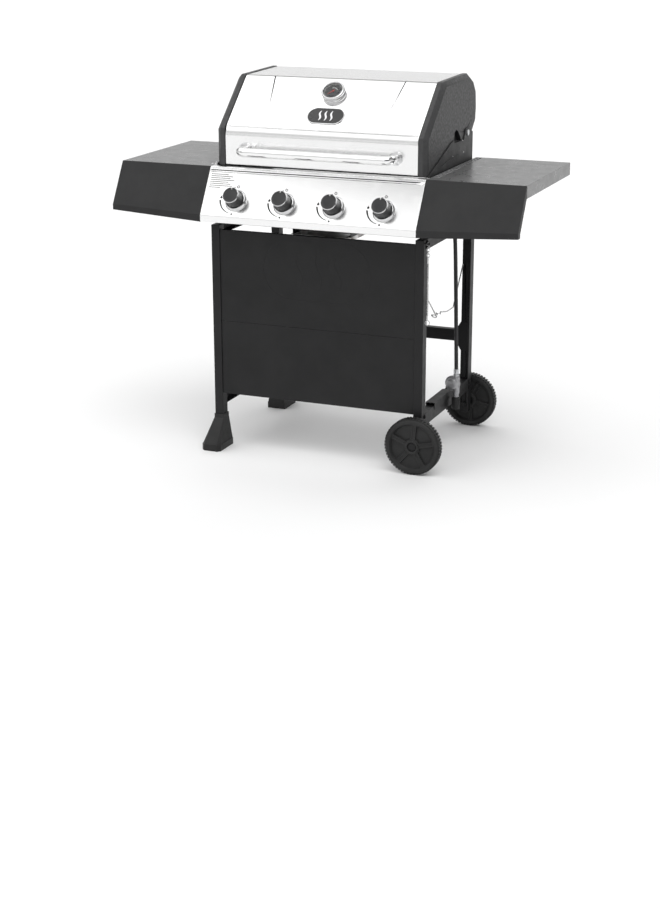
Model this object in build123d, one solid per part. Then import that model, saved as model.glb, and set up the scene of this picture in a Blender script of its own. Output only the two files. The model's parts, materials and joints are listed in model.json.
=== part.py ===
from build123d import *
import os
from math import hypot, pi, radians, tan

# Four-burner gas barbecue grill on a cart, millimetres.
# The model is drawn with x across the grill, y from the top front edge of the control panel
# towards the back and z up from the ground.  Every part is moved by the same amount on
# export, so that the origin is under the middle of the grill, at the ground.

# ---------------------------------------------------------------- driving dimensions
# Cooking head
PANEL_HALF = 340.7            # half width of the control panel
DECK_Z = 874.7                # height of the shelves and of the panel's top edge
PANEL_REACH = 80.9            # how far the panel's bend stands in front of its top edge
PANEL_DROP = 133.1            # how far the bend lies under the top edge
PANEL_LIP = 21.2              # height of the upright lip under the bend
PANEL_TAB = 12.0              # turned-down edge that meets the firebox
PANEL_RETURN = 14.0
PANEL_SHEET = 1.0
KNOB_COUNT = 4
KNOB_PITCH = 156.0
KNOB_DOWN_SLOPE = 104.0       # from the panel's top edge to the knob axis, along the slope

# Firebox
FIREBOX_FRONT = 36.0
FIREBOX_BACK = 438.5
SIDE_INNER = 334.6            # inner face of the fixed side plates
SIDE_PLATE = 2.4
PAN_SHEET = 1.5
PAN_RIM_Z = 870.0             # top of the front wall
PAN_BACK_Z = 864.0            # top of the back wall
PAN_EAVE_Z = 737.0            # where the pan's walls meet its sloping floor
PAN_FLOOR_Z = 703.0
DRAIN_HALF_X = 70.0
DRAIN_HALF_Y = 40.0
GRATE_Z = 850.0               # underside of the cooking grates
GRATE_HEIGHT = 12.0
TENT_Z = 800.0                # underside of the heat tents
TENT_RISE = 24.0
TENT_HALF = 55.0
RACK_Z = 985.0
RACK_FOOT_Z = 905.0
RACK_LEG_Y = (250.0, 352.0)
RACK_HALF = 294.0
RACK_WIRE_R = 2.5
RACK_BARS = 11
BURNER_Z = 765.0
BURNER_R = 14.0

# Lid
LID_FRONT = 29.3
LID_BASE_Z = 876.2            # lower edge of the end caps
SKIN_BASE_Z = 879.0           # lower edge of the steel skin
LID_BEND_Z = 985.3
LID_CREST = (186.8, 1127.2)   # front top edge
LID_SHEET = 1.2
HEM = 5.0                     # turned-in lower edge of the skin
LID_SKIN_HALF = 306.5
LID_HALF = 333.4
LID_BACK_OUTLINE = [
    (414.0, 1131.0), (452.0, 1112.0), (480.0, 1078.0), (486.0, 1023.0), (481.0, 984.0), (446.0, 950.0),
]
LID_TAIL_Y = 433.0            # the end caps reach down behind the hinge as far back as this
CAP_PROUD = 1.6               # end caps stand this far proud of the steel skin
CAP_FLAT = 14.0               # flat band of an end cap next to the skin
CAP_WALL = 2.0
ARCH_DEPTH = 14.0             # pocket in an end cap, over the side plate
HINGE = (386.1, 959.6)        # y and z of the lid's hinge axis
HINGE_PIN_R = 4.0
HANDLE_HALF = 238.5           # half distance between the handle's feet
HANDLE_Z = 925.2
HANDLE_STANDOFF = 57.0        # lid face to tube axis
HANDLE_R = 13.2
HANDLE_BEND_R = 26.0
THERMOMETER_UP_SLOPE = 152.0  # from the lid's bend, along the slope
THERMOMETER_R = 36.0
THERMOMETER_H = 18.0
DIAL_R = 28.5
DIAL_HEIGHT = 10.0            # from the lid to the back of the dial plate
DIAL_STEM = 62.0              # how far the stem reaches into the lid
DIAL_STEM_R = 3.0
BADGE_UP_SLOPE = 65.0
BADGE_SIZE = (118.0, 62.0, 2.5)

# Shelves
SHELF_HALF = 640.0            # half of the grill's whole width
SHELF_GAP = 0.5               # between the panel's end and a shelf
SHELF_FRONT = 3.0             # the shelf's front edge, behind its fascia's
SHELF_BACK = 462.7
SHELF_SKIRT = 36.9
SHELF_SHEET = 1.0
FASCIA_WALL = 2.5
FASCIA_END_REACH = 72.0       # the fascia tapers towards the grill's ends
FASCIA_END_DROP = 121.8
FASCIA_END_LIP = 17.0
FASCIA_RETURN = 20.0

# Cart
LEG_HALF = 341.2              # outer faces of the legs
LEG_W = 27.3
LEG_D = 33.0
LEG_WALL = 1.5
LEG_FRONT_Y = -7.5            # front face of the front legs
LEG_BACK_Y = 466.3            # back face of the rear legs
LEG_TOP_Z = 699.0
UPPER_RAIL_H = 30.0
SIDE_BAR_Z = 133.0
SIDE_BAR_H = 40.0
CROSS_BAR_Z = 293.7
CROSS_BAR_H = 37.0
CROSS_BAR_D = 22.0
BRACKET_Y = (104.0, 262.0)    # tank bracket on the right side bar
BRACKET_WALL = 2.0
BRACKET_RISE = 9.5
BRACKET_SKIRT = 12.0
FRONT_TOP_Z = 684.9
FRONT_SEAM_Z = 403.7
FRONT_BOTTOM_Z = 172.7
FRONT_RECESS = 3.0
FRONT_SHEET = 1.0
FRONT_FLANGE = 14.0

# Feet and wheels
FOOT_OUT = 19.8               # beyond the leg, sideways away from the grill
FOOT_IN = 15.5
FOOT_FAR = 63.4               # beyond the leg, away from the grill's middle
FOOT_NEAR = 1.9
FOOT_RIM_H = 21.0
FOOT_FLARE_TOP = 92.0
FOOT_TOP = 104.0
FOOT_COLLAR = 2.6
FOOT_FLOOR = 6.0
WHEEL_R = 87.15
WHEEL_W = 33.0
WHEEL_GAP = 16.9              # between leg and wheel
WHEEL_SPOKES = 5
TYRE_DEPTH = 15.0
HUB_R = 17.0
AXLE_R = 6.0
AXLE_CLEARANCE = 0.08

# Knobs
KNOB_R = 26.0
KNOB_FACE_R = 23.5
KNOB_BASE_H = 4.3             # gap under the knob, taken up when it is pushed in
KNOB_TOP_H = 46.0
BEZEL_R = 34.5
BEZEL_H = 9.0
STEM_R = 4.0
STEM_DEPTH = 21.0             # how far a stem reaches into its valve
STEM_REACH = 30.0             # and out in front of the panel
STEM_FLAT = 2.0               # width of the slab that the stem's flat takes away
FIT = 0.05                    # radial clearance of running fits
GAP = 0.3                     # clearance between parts of different bodies

# Grease tray
TRAY_HALF = 84.0
TRAY_FRONT = 20.0
TRAY_BACK = 418.0
TRAY_RIM_Z = 684.0
TRAY_DEPTH = 20.0
TRAY_SHEET = 1.0
TRAY_FLANGE = 7.0
CUP_R = 36.0
CUP_DEPTH = 42.0

# Gas hose, from the manifold's end to the regulator
HOSE_D = 12.0
HOSE_ROUTE = [
    (262, -28, 742), (310, -28, 742), (352, 14, 742), (351, 80, 744), (352, 147, 741),
    (352, 194, 722), (352.5, 229, 687), (353, 247, 641), (361, 252, 250),
]
HOSE_ARC_SHARE = 0.45         # share of the shorter run that an arc takes

# Regulator
DISC_R = 24.0
DISC_SHIFT = 10.0             # the diaphragm housing sits to the left of the hose
DISC_DROP = 42.0
TAIL_R = 6.0
NUT_R = 12.5
NUT_THREAD_R = 9.5

# Tank retaining wire and lighting rod
WIRE_D = 4.0
WIRE_X = 320.0
WIRE_Z = 545.0
WIRE_LOW_Z = 405.0
WIRE_BEND_R = 3.0
ROD_HOOK = (-1.0, 690.0)      # y and z of the stud on the front right leg
ROD_STANDOFF = 11.0           # from the leg's face to the rod
ROD_DROP = 240.0
STUD_R = 2.2
LINK_R = 4.9                  # chain link, to the middle of its wire
LINK_WIRE_R = 0.8


# ---------------------------------------------------------------- small helpers
STANDING = (Align.CENTER, Align.CENTER, Align.MIN)


def block(x0, x1, y0, y1, z0, z1):
    """A box given by its faces."""
    corner = Pos(min(x0, x1), min(y0, y1), min(z0, z1))
    return corner * Box(abs(x1 - x0), abs(y1 - y0), abs(z1 - z0), align=(Align.MIN, Align.MIN, Align.MIN))


def rod(start, end, radius):
    """A round bar from one point to another."""
    a = Vector(*start)
    b = Vector(*end)
    return Plane(a, z_dir=b - a) * Cylinder(radius, (b - a).length, align=STANDING)


def prism(points, x0, x1):
    """A polygon of (y, z) points, drawn out along x."""
    low, high = min(x0, x1), max(x0, x1)
    return extrude(Plane.YZ.offset(low) * make_face(Polyline(*points, close=True)), high - low)


def mirrored(shape, side):
    """The shape itself on the right side, its mirror image on the left."""
    return shape if side > 0 else mirror(shape, about=Plane.YZ)


def unit(a, b):
    length = hypot(b[0] - a[0], b[1] - a[1])
    return (b[0] - a[0]) / length, (b[1] - a[1]) / length


def shifted(points, distance, closed=False):
    """A polyline moved sideways by a distance, to its left when the distance is positive."""
    count = len(points)
    moved = []
    for i, (y, z) in enumerate(points):
        before = unit(points[i - 1], points[i]) if closed or i > 0 else None
        after = unit(points[i], points[(i + 1) % count]) if closed or i < count - 1 else None
        before = before or after
        after = after or before
        n1 = (-before[1], before[0])
        n2 = (-after[1], after[0])
        scale = distance / (1 + n1[0] * n2[0] + n1[1] * n2[1])
        moved.append((y + (n1[0] + n2[0]) * scale, z + (n1[1] + n2[1]) * scale))
    return moved


def strip(points, thickness, rounds=None):
    """The cross-section of bent sheet: a line and its copy, thickness to its left.
    rounds gives the outside radius of a bend by its place in the line."""
    inner = shifted(points, thickness)
    face = make_face(Polyline(*points, *reversed(inner), close=True))
    for index, radius in (rounds or {}).items():
        face = round_tip(face, Vector(*points[index]), radius)
        face = round_tip(face, Vector(*inner[index]), radius - abs(thickness))
    return face


def round_tip(face, tip, radius):
    vertex = face.vertices().sort_by_distance(tip)[0]
    return fillet(vertex, radius)


def along_x(face, x0, x1):
    return extrude(Plane.YZ.offset(x0) * face, x1 - x0)


def frustum(lower, upper, x0, x1):
    """A solid between two polygons of (y, z) points at two places along x."""
    first = Plane.YZ.offset(x0) * make_face(Polyline(*lower, close=True))
    second = Plane.YZ.offset(x1) * make_face(Polyline(*upper, close=True))
    return loft([first, second], ruled=True)


def turned(profile, plane):
    """A closed outline of (radius, height) points turned about the plane's normal."""
    face = Plane.XZ * make_face(Polyline(*profile, close=True))
    return plane * revolve(face, Axis.Z)


# ---------------------------------------------------------------- derived places
SLOPE_LENGTH = hypot(PANEL_REACH, PANEL_DROP)
SLOPE_DOWN = (-PANEL_REACH / SLOPE_LENGTH, -PANEL_DROP / SLOPE_LENGTH)
SLOPE_OUT = (SLOPE_DOWN[1], -SLOPE_DOWN[0])
PANEL_BEND = (-PANEL_REACH, DECK_Z - PANEL_DROP)
KNOB_X = [KNOB_PITCH * (i - (KNOB_COUNT - 1) / 2) for i in range(KNOB_COUNT)]
SIDE_OUTER = SIDE_INNER + SIDE_PLATE
LEG_INNER = LEG_HALF - LEG_W
LEG_X = LEG_HALF - LEG_W / 2
SHELF_INNER = PANEL_HALF + SHELF_GAP
LID_BEND = (LID_FRONT, LID_BEND_Z)
LID_SLOPE = unit(LID_BEND, LID_CREST)
WHEEL_FRONT_Y = LEG_FRONT_Y - WHEEL_GAP - WHEEL_W
WHEEL_REAR_Y = LEG_BACK_Y + WHEEL_GAP
FRONT_PANEL_Y = LEG_FRONT_Y + FRONT_RECESS
VALVE_BACK = 34.0
VALVE_R = 11.0
MANIFOLD = (-28.0, 742.0)
MANIFOLD_R = 10.0
REGULATOR = HOSE_ROUTE[-1]


def slope_point(down, out):
    """A (y, z) point on the control panel: down its slope and out from its face."""
    return down * SLOPE_DOWN[0] + out * SLOPE_OUT[0], DECK_Z + down * SLOPE_DOWN[1] + out * SLOPE_OUT[1]


def knob_plane(x):
    y, z = slope_point(KNOB_DOWN_SLOPE, 0)
    return Plane((x, y, z), x_dir=(1, 0, 0), z_dir=(0, SLOPE_OUT[0], SLOPE_OUT[1]))


def lid_plane(up_slope):
    y = LID_BEND[0] + up_slope * LID_SLOPE[0]
    z = LID_BEND[1] + up_slope * LID_SLOPE[1]
    return Plane((0, y, z), x_dir=(1, 0, 0), z_dir=(0, -LID_SLOPE[1], LID_SLOPE[0]))


# ---------------------------------------------------------------- cart
def leg(side, y0, bottom):
    """A rectangular tube; side is +1 on the right."""
    x0 = LEG_INNER
    x1 = LEG_HALF
    tube = block(x0, x1, y0, y0 + LEG_D, bottom, LEG_TOP_Z)
    wall = LEG_WALL
    bore = block(x0 + wall, x1 - wall, y0 + wall, y0 + LEG_D - wall, bottom - 1, LEG_TOP_Z - 2 * wall)
    shape = tube - bore
    if side > 0:
        axle_hole = rod((LEG_X, y0 - 1, WHEEL_R), (LEG_X, y0 + LEG_D + 1, WHEEL_R), AXLE_R + AXLE_CLEARANCE)
        inside = y0 + LEG_D if y0 < 0 else y0
        wire_hole = rod((WIRE_X, inside - 5, WIRE_Z), (WIRE_X, inside + 5, WIRE_Z), WIRE_D / 2 + FIT)
        shape = shape - axle_hole - wire_hole
    return mirrored(shape, side)


def front_panel(bottom, top):
    x1 = LEG_INNER - 0.2
    y0 = FRONT_PANEL_Y
    outer = block(-x1, x1, y0, y0 + FRONT_FLANGE, bottom, top)
    t = FRONT_SHEET
    return outer - block(-x1 + t, x1 - t, y0 + t, y0 + FRONT_FLANGE + 1, bottom + t, top - t)


def channel_bar(z0, height, side):
    """A side bar between the front and rear legs, open towards the inside."""
    y0 = LEG_FRONT_Y + LEG_D
    y1 = LEG_BACK_Y - LEG_D
    wall = LEG_WALL
    bar = block(LEG_INNER + 2, LEG_HALF, y0, y1, z0, z0 + height)
    bar = bar - block(LEG_INNER + 1, LEG_HALF - wall, y0 - 1, y1 + 1, z0 + wall, z0 + height - wall)
    return mirrored(bar, side)


def rear_cross_bar():
    """A channel between the rear legs with a gusset plate at each end."""
    y0 = LEG_BACK_Y - LEG_D
    bar = block(-LEG_INNER, LEG_INNER, y0, y0 + CROSS_BAR_D, CROSS_BAR_Z, CROSS_BAR_Z + CROSS_BAR_H)
    hollow = block(-LEG_INNER - 1, LEG_INNER + 1, y0 + 2, y0 + CROSS_BAR_D + 1,
                   CROSS_BAR_Z + 2, CROSS_BAR_Z + CROSS_BAR_H - 2)
    bar = bar - hollow
    middle = CROSS_BAR_Z + CROSS_BAR_H / 2
    reach = 46.0
    nose = LEG_INNER - 11.0
    outline = [(nose, middle - reach + 18), (LEG_INNER, middle - reach), (LEG_HALF - 4, middle - reach),
               (LEG_HALF - 4, middle + reach), (LEG_INNER, middle + reach), (nose, middle + reach - 18)]
    plate = extrude(Plane.XZ.offset(-y0) * make_face(Polyline(*outline, close=True)), 2.0)
    return bar + plate + mirror(plate, about=Plane.YZ)


def foot(y_leg, away):
    """A flared plastic foot on a left leg; away is -1 for the front leg and +1 for the rear."""
    y_near = y_leg if away > 0 else y_leg + LEG_D
    y_far = y_leg + LEG_D if away > 0 else y_leg
    x_out = -LEG_HALF
    x_in = -LEG_INNER

    def ring(out, inward, near, far, z, cut):
        xa = x_out - out
        xb = x_in + inward
        ya = y_near - away * near
        yb = y_far + away * far
        points = [(xa, ya), (xb, ya), (xb, yb - away * cut), (xb - cut, yb), (xa + cut, yb),
                  (xa, yb - away * cut)]
        return Plane.XY.offset(z) * make_face(Polyline(*points, close=True))

    c = FOOT_COLLAR
    base = extrude(ring(FOOT_OUT, FOOT_IN, FOOT_NEAR, FOOT_FAR, 0, 9), FOOT_RIM_H)
    flare = loft([ring(FOOT_OUT - 1.5, FOOT_IN - 1.5, FOOT_NEAR, FOOT_FAR - 1.5, FOOT_RIM_H, 9),
                  ring(c, c, FOOT_NEAR, c, FOOT_FLARE_TOP, 2)], ruled=True)
    collar = extrude(ring(c, c, FOOT_NEAR, c, FOOT_FLARE_TOP, 2), FOOT_TOP - FOOT_FLARE_TOP)
    socket = block(x_out, x_in, y_leg, y_leg + LEG_D, FOOT_FLOOR, FOOT_TOP + 1)
    return base + flare + collar - socket


def wheel(y0):
    """A moulded wheel between y0 and y0 + WHEEL_W: tyre, dished web, double spokes and hub."""
    middle = y0 + WHEEL_W / 2
    centre = Plane((LEG_X, middle, WHEEL_R), x_dir=(1, 0, 0), z_dir=(0, -1, 0))
    half = WHEEL_W / 2
    tyre_in = WHEEL_R - TYRE_DEPTH
    tyre = turned([(tyre_in, -half + 2), (tyre_in + 4, -half), (WHEEL_R - 4, -half), (WHEEL_R, -half + 4),
                   (WHEEL_R, half - 4), (WHEEL_R - 4, half), (tyre_in + 4, half), (tyre_in, half - 2)], centre)
    bore = AXLE_R + AXLE_CLEARANCE
    hub = turned([(bore, -half), (HUB_R, -half), (HUB_R, half), (HUB_R - 4, half), (HUB_R - 4, half - 9),
                  (bore, half - 9)], centre)
    web = turned([(HUB_R - 2, -3), (tyre_in + 1, -3), (tyre_in + 1, 3), (HUB_R - 2, 3)], centre)
    shape = tyre + hub + web
    span = tyre_in - HUB_R + 2
    for i in range(WHEEL_SPOKES):
        turn = 85 + i * 360 / WHEEL_SPOKES
        for offset in (-4.5, 4.5):
            rib = Pos(HUB_R - 1 + span / 2, offset, 0) * Box(span, 2.6, WHEEL_W - 14)
            shape = shape + centre * (Rot(0, 0, turn) * rib)
    return shape


def wheel_axles():
    """Shoulder bolts through the wheels and the right legs, each with its nut."""
    bolts = []
    for y_leg, away, y_wheel in ((LEG_FRONT_Y, -1, WHEEL_FRONT_Y), (LEG_BACK_Y - LEG_D, 1, WHEEL_REAR_Y)):
        leg_outer = y_leg if away < 0 else y_leg + LEG_D
        leg_inner = y_leg + LEG_D if away < 0 else y_leg
        wheel_outer = y_wheel if away < 0 else y_wheel + WHEEL_W
        wheel_inner = y_wheel + WHEEL_W if away < 0 else y_wheel
        head = wheel_outer - away * (9 - GAP)

        def at(y):
            return LEG_X, y, WHEEL_R

        bolt = rod(at(head), at(leg_inner - away * 9), AXLE_R)
        bolt = bolt + rod(at(head), at(head + away * 5), HUB_R - 5.5)
        bolt = bolt + rod(at(leg_outer), at(wheel_inner - away * GAP), AXLE_R + 3)
        nut = Plane(at(leg_inner - away * 7), z_dir=(0, away, 0)) * extrude(RegularPolygon(9.5, 6), 7)
        bolts.append(bolt + nut)
    return bolts


def tank_bracket():
    """A saddle over the right side bar, which carries the gas cylinder's foot ring."""
    top = SIDE_BAR_Z + SIDE_BAR_H
    wall = BRACKET_WALL
    y0, y1 = BRACKET_Y
    saddle = block(LEG_INNER + 2 - wall, LEG_HALF + wall, y0, y1, top - BRACKET_SKIRT, top + BRACKET_RISE)
    hollow = block(LEG_INNER + 2, LEG_HALF, y0 - 1, y1 + 1,
                   top - BRACKET_SKIRT - 1, top + BRACKET_RISE - wall)
    return saddle - hollow


def bolt_x(side, y, z, x_face, out=1):
    """A domed bolt head on a face whose normal is along x."""
    head = rod((x_face, y, z), (x_face + out * 3.5, y, z), 6.5)
    tip = rod((x_face + out * 3.5, y, z), (x_face + out * 5, y, z), 4)
    return mirrored(head + tip, side)


def frame_bolts():
    """The bolt heads on the cart's outer faces."""
    heads = []
    leg_rows = (LEG_FRONT_Y + LEG_D - 9, LEG_BACK_Y - LEG_D + 9)
    for side in (-1, 1):
        for y in leg_rows:
            for z in (SIDE_BAR_Z + 10, SIDE_BAR_Z + 30, LEG_TOP_Z - 22, LEG_TOP_Z - 8):
                heads.append(bolt_x(side, y, z, LEG_HALF))
    for x in (-LEG_X, LEG_X):
        for z in (CROSS_BAR_Z + 8, CROSS_BAR_Z + CROSS_BAR_H - 8):
            heads.append(rod((x, LEG_BACK_Y, z), (x, LEG_BACK_Y + 4, z), 6.5))
    return heads


# ---------------------------------------------------------------- firebox
def side_plate(side):
    """A fixed side of the firebox: sloping top edge, arch for the lid and hinge ear."""
    y0 = FIREBOX_FRONT
    y1 = FIREBOX_BACK
    hy, hz = HINGE
    outline = [(y0, LEG_TOP_Z), (y1, LEG_TOP_Z), (y1, hz - 4), (hy + 20, hz + 13), (hy - 14, hz + 14),
               (hy - 34, hz - 19), (hy - 122, hz - 17), (hy - 132, hz - 7), (y0, LID_BASE_Z + 2)]
    plate = prism(outline, SIDE_INNER, SIDE_OUTER)
    plate = plate - rod((SIDE_INNER - 1, hy, hz), (SIDE_OUTER + 1, hy, hz), HINGE_PIN_R + FIT)
    for y in RACK_LEG_Y:
        hole = rod((SIDE_INNER - 1, y, RACK_FOOT_Z), (SIDE_OUTER + 1, y, RACK_FOOT_Z), RACK_WIRE_R + GAP)
        plate = plate - hole
    return mirrored(plate, side)


def firebox_pan():
    """The folded pan: walls, floor sloping to the drain, ledges and grease tray rails."""
    y0 = FIREBOX_FRONT
    y1 = FIREBOX_BACK - 2
    middle = (y0 + y1) / 2
    points = [(y0, PAN_RIM_Z), (y0, PAN_EAVE_Z), (middle - 55, PAN_FLOOR_Z), (middle + 55, PAN_FLOOR_Z),
              (y1, PAN_EAVE_Z), (y1, PAN_BACK_Z)]
    shell = along_x(strip(points, PAN_SHEET), -SIDE_INNER, SIDE_INNER)
    drain = block(-DRAIN_HALF_X, DRAIN_HALF_X, middle - DRAIN_HALF_Y, middle + DRAIN_HALF_Y,
                  PAN_FLOOR_Z - 1, PAN_FLOOR_Z + 5)
    shell = shell - drain
    for x in KNOB_X:
        shell = shell - rod((x, y0 - 1, BURNER_Z), (x, y0 + 5, BURNER_Z), BURNER_R + GAP)
    inner0 = y0 + PAN_SHEET
    inner1 = y1 - PAN_SHEET
    for z, depth in ((GRATE_Z, 16), (TENT_Z, 12)):
        shell = shell + block(-SIDE_INNER, SIDE_INNER, inner0, inner0 + depth, z - 2, z)
        shell = shell + block(-SIDE_INNER, SIDE_INNER, inner1 - depth, inner1, z - 2, z)
    web_x = TRAY_HALF + TRAY_FLANGE + 1.5
    lip_top = TRAY_RIM_Z - TRAY_SHEET - GAP
    above = prism([(y0 - 5, PAN_EAVE_Z + 60), points[1], points[2], points[3], points[4],
                   (y1 + 5, PAN_EAVE_Z + 60)], -web_x - 5, web_x + 5)
    for side in (-1, 1):
        rail = block(web_x, web_x + 1.5, y0 + 6, y1 - 6, lip_top - 1.5, PAN_EAVE_Z)
        rail = rail + block(TRAY_HALF + 2, web_x + 1.5, y0 + 6, y1 - 6, lip_top - 1.5, lip_top)
        shell = shell + mirrored(rail - above, side)
    return shell


def grate(side):
    """One of the two cooking grates: bars from front to back in a frame."""
    x0 = 3.0
    x1 = SIDE_INNER - 4
    y0 = FIREBOX_FRONT + 4
    y1 = FIREBOX_BACK - 6
    z1 = GRATE_Z + GRATE_HEIGHT
    shape = block(x0, x1, y0, y0 + 8, GRATE_Z, z1) + block(x0, x1, y1 - 8, y1, GRATE_Z, z1)
    bars = 20
    for i in range(bars):
        x = x0 + 3 + i * (x1 - x0 - 6) / (bars - 1)
        shape = shape + block(x - 3, x + 3, y0 + 4, y1 - 4, GRATE_Z + 2, z1)
    shape = shape + block(x0, x1, (y0 + y1) / 2 - 4, (y0 + y1) / 2 + 4, GRATE_Z + 1, z1 - 4)
    return mirrored(shape, side)


def warming_rack():
    """A wire rack on four legs, whose feet plug into the side plates."""
    y0 = RACK_LEG_Y[0] - 10
    y1 = RACK_LEG_Y[1] + 10
    shape = None
    for i in range(RACK_BARS):
        y = y0 + i * (y1 - y0) / (RACK_BARS - 1)
        bar = rod((-RACK_HALF, y, RACK_Z), (RACK_HALF, y, RACK_Z), RACK_WIRE_R)
        shape = bar if shape is None else shape + bar
    for x in (-RACK_HALF, -RACK_HALF / 3, RACK_HALF / 3, RACK_HALF):
        shape = shape + rod((x, y0 - 2, RACK_Z - 3), (x, y1 + 2, RACK_Z - 3), RACK_WIRE_R)
    for x in (-RACK_HALF, RACK_HALF):
        end = SIDE_OUTER if x > 0 else -SIDE_OUTER
        for y in RACK_LEG_Y:
            shape = shape + rod((x, y, RACK_FOOT_Z - RACK_WIRE_R), (x, y, RACK_Z), RACK_WIRE_R)
            shape = shape + rod((x, y, RACK_FOOT_Z), (end, y, RACK_FOOT_Z), RACK_WIRE_R)
    return shape


def heat_tents():
    """Four folded sheets over the burners, resting on the lower ledges."""
    y0 = FIREBOX_FRONT + 4
    y1 = FIREBOX_BACK - 6
    tents = []
    for x in KNOB_X:
        points = [(x - TENT_HALF, TENT_Z), (x - TENT_HALF + 8, TENT_Z), (x, TENT_Z + TENT_RISE),
                  (x + TENT_HALF - 8, TENT_Z), (x + TENT_HALF, TENT_Z)]
        face = strip(points, 1.2)
        tents.append(extrude(Plane.XZ.offset(-y1) * face, y1 - y0))
    return tents


def burners():
    """Four burner tubes from the valves to the back wall, with gas slots along both sides."""
    y0 = FIREBOX_FRONT - 16
    y1 = FIREBOX_BACK - 22
    tubes = []
    for x in KNOB_X:
        tube = rod((x, y0, BURNER_Z), (x, y1, BURNER_Z), BURNER_R)
        tube = tube - rod((x, y0 - 1, BURNER_Z), (x, y1 - 2, BURNER_Z), BURNER_R - 1.2)
        slots = 12
        for i in range(slots):
            y = y0 + 50 + i * (y1 - y0 - 80) / (slots - 1)
            tube = tube - block(x - BURNER_R - 1, x + BURNER_R + 1, y, y + 2, BURNER_Z + 2, BURNER_Z + 6)
        tube = tube + rod((x, y1, BURNER_Z), (x, FIREBOX_BACK - 2 - PAN_SHEET, BURNER_Z), 4)
        tubes.append(tube)
    return tubes


# ---------------------------------------------------------------- gas train
def gas_valves():
    """A valve body behind each knob: bored for the stem, fed from below, with a jet."""
    bodies = []
    for x in KNOB_X:
        plane = knob_plane(x)
        body = plane * (Pos(0, 0, -VALVE_BACK) * Cylinder(VALVE_R, VALVE_BACK - PANEL_SHEET, align=STANDING))
        my, mz = MANIFOLD
        feed = rod((x, my, mz + MANIFOLD_R), (x, my, BURNER_Z + 8), 8)
        jet = rod((x, my, BURNER_Z), (x, FIREBOX_FRONT - 10, BURNER_Z), 5)
        body = body + feed + jet
        bore = plane * (Pos(0, 0, -STEM_DEPTH - 1) * Cylinder(STEM_R + FIT, 2 * STEM_DEPTH, align=STANDING))
        bodies.append(body - bore)
    return bodies


def manifold():
    """The gas rail under the valves, capped on the left, with a hose adapter on the right."""
    my, mz = MANIFOLD
    left = KNOB_X[0] - 22
    right = HOSE_ROUTE[0][0]
    rail = rod((left, my, mz), (right - 14, my, mz), MANIFOLD_R)
    rail = rail + Plane((right - 14, my, mz), z_dir=(1, 0, 0)) * extrude(RegularPolygon(9, 6), 14)
    return rail


def stem(x):
    """A valve stem with a flat, turning in its valve and carrying the knob."""
    shaft = Pos(0, 0, -STEM_DEPTH) * Cylinder(STEM_R, STEM_DEPTH + STEM_REACH, align=STANDING)
    flat = Pos(0, STEM_R, 20) * Box(3 * STEM_R, STEM_FLAT, 32)
    return knob_plane(x) * (shaft - flat)


def knob(x):
    """A push-and-turn knob: tapered body, trim rim, dished face and a pointer notch."""
    plane = knob_plane(x)
    r = KNOB_FACE_R
    dish = 1.6
    body = turned([(0, KNOB_BASE_H), (KNOB_R, KNOB_BASE_H), (KNOB_R, 13), (r + 1, 30), (r + 1, KNOB_TOP_H - 4),
                   (r, KNOB_TOP_H), (r - 2, KNOB_TOP_H), (r - 2.6, KNOB_TOP_H - dish),
                   (0, KNOB_TOP_H - dish)], plane)
    bore = Pos(0, 0, KNOB_BASE_H - 1) * Cylinder(STEM_R + FIT, STEM_REACH + KNOB_BASE_H, align=STANDING)
    key = Pos(0, STEM_R, KNOB_BASE_H + 16) * Box(3 * STEM_R, STEM_FLAT - 2 * FIT, 20)
    socket = bore - key
    notch = Pos(0, r - 1, KNOB_TOP_H) * Box(3, 7, 3)
    return body - plane * socket - plane * notch


def knob_bezels():
    """Domed trim rings round the knobs."""
    inner = KNOB_R + 0.8
    profile = [(inner, 0), (BEZEL_R, 0), (BEZEL_R, 2), (BEZEL_R - 3, BEZEL_H - 2),
               (inner + 2, BEZEL_H), (inner, BEZEL_H - 1)]
    return [turned(profile, knob_plane(x)) for x in KNOB_X]


def control_panel():
    """Folded panel: tab on the firebox, top, groove, sloping face, upright lip and return."""
    s0 = 10.0
    groove = [slope_point(s0, 0), slope_point(s0 + 0.8, -1.5),
              slope_point(s0 + 3.4, -1.5), slope_point(s0 + 4.2, 0)]
    bend = PANEL_BEND
    back = [(FIREBOX_FRONT, DECK_Z - PANEL_TAB), (FIREBOX_FRONT, DECK_Z), (0, DECK_Z)]
    lip = [bend, (bend[0], bend[1] - PANEL_LIP), (bend[0] + PANEL_RETURN, bend[1] - PANEL_LIP)]
    face = strip(back + groove + lip, PANEL_SHEET)
    shape = along_x(face, -PANEL_HALF, PANEL_HALF)
    for x in KNOB_X:
        plane = knob_plane(x)
        shape = shape - plane * Cylinder(STEM_R + 1, 10)
    return shape


# ---------------------------------------------------------------- grease tray
def grease_tray():
    x = TRAY_HALF
    f = TRAY_FLANGE
    z1 = TRAY_RIM_Z
    z0 = z1 - TRAY_DEPTH
    t = TRAY_SHEET
    rim = block(-x - f, x + f, TRAY_FRONT, TRAY_BACK, z1 - t, z1)
    body = block(-x, x, TRAY_FRONT, TRAY_BACK, z0, z1)
    well = block(-x + t, x - t, TRAY_FRONT + t, TRAY_BACK - t, z0 + t, z1 + 1)
    pull = block(-30, 30, TRAY_BACK, TRAY_BACK + 14, z1 - t, z1)
    middle = (TRAY_FRONT + TRAY_BACK) / 2
    hole = rod((0, middle, z0 - 1), (0, middle, z0 + 3), CUP_R + GAP)
    return rim + body + pull - well - hole


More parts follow.
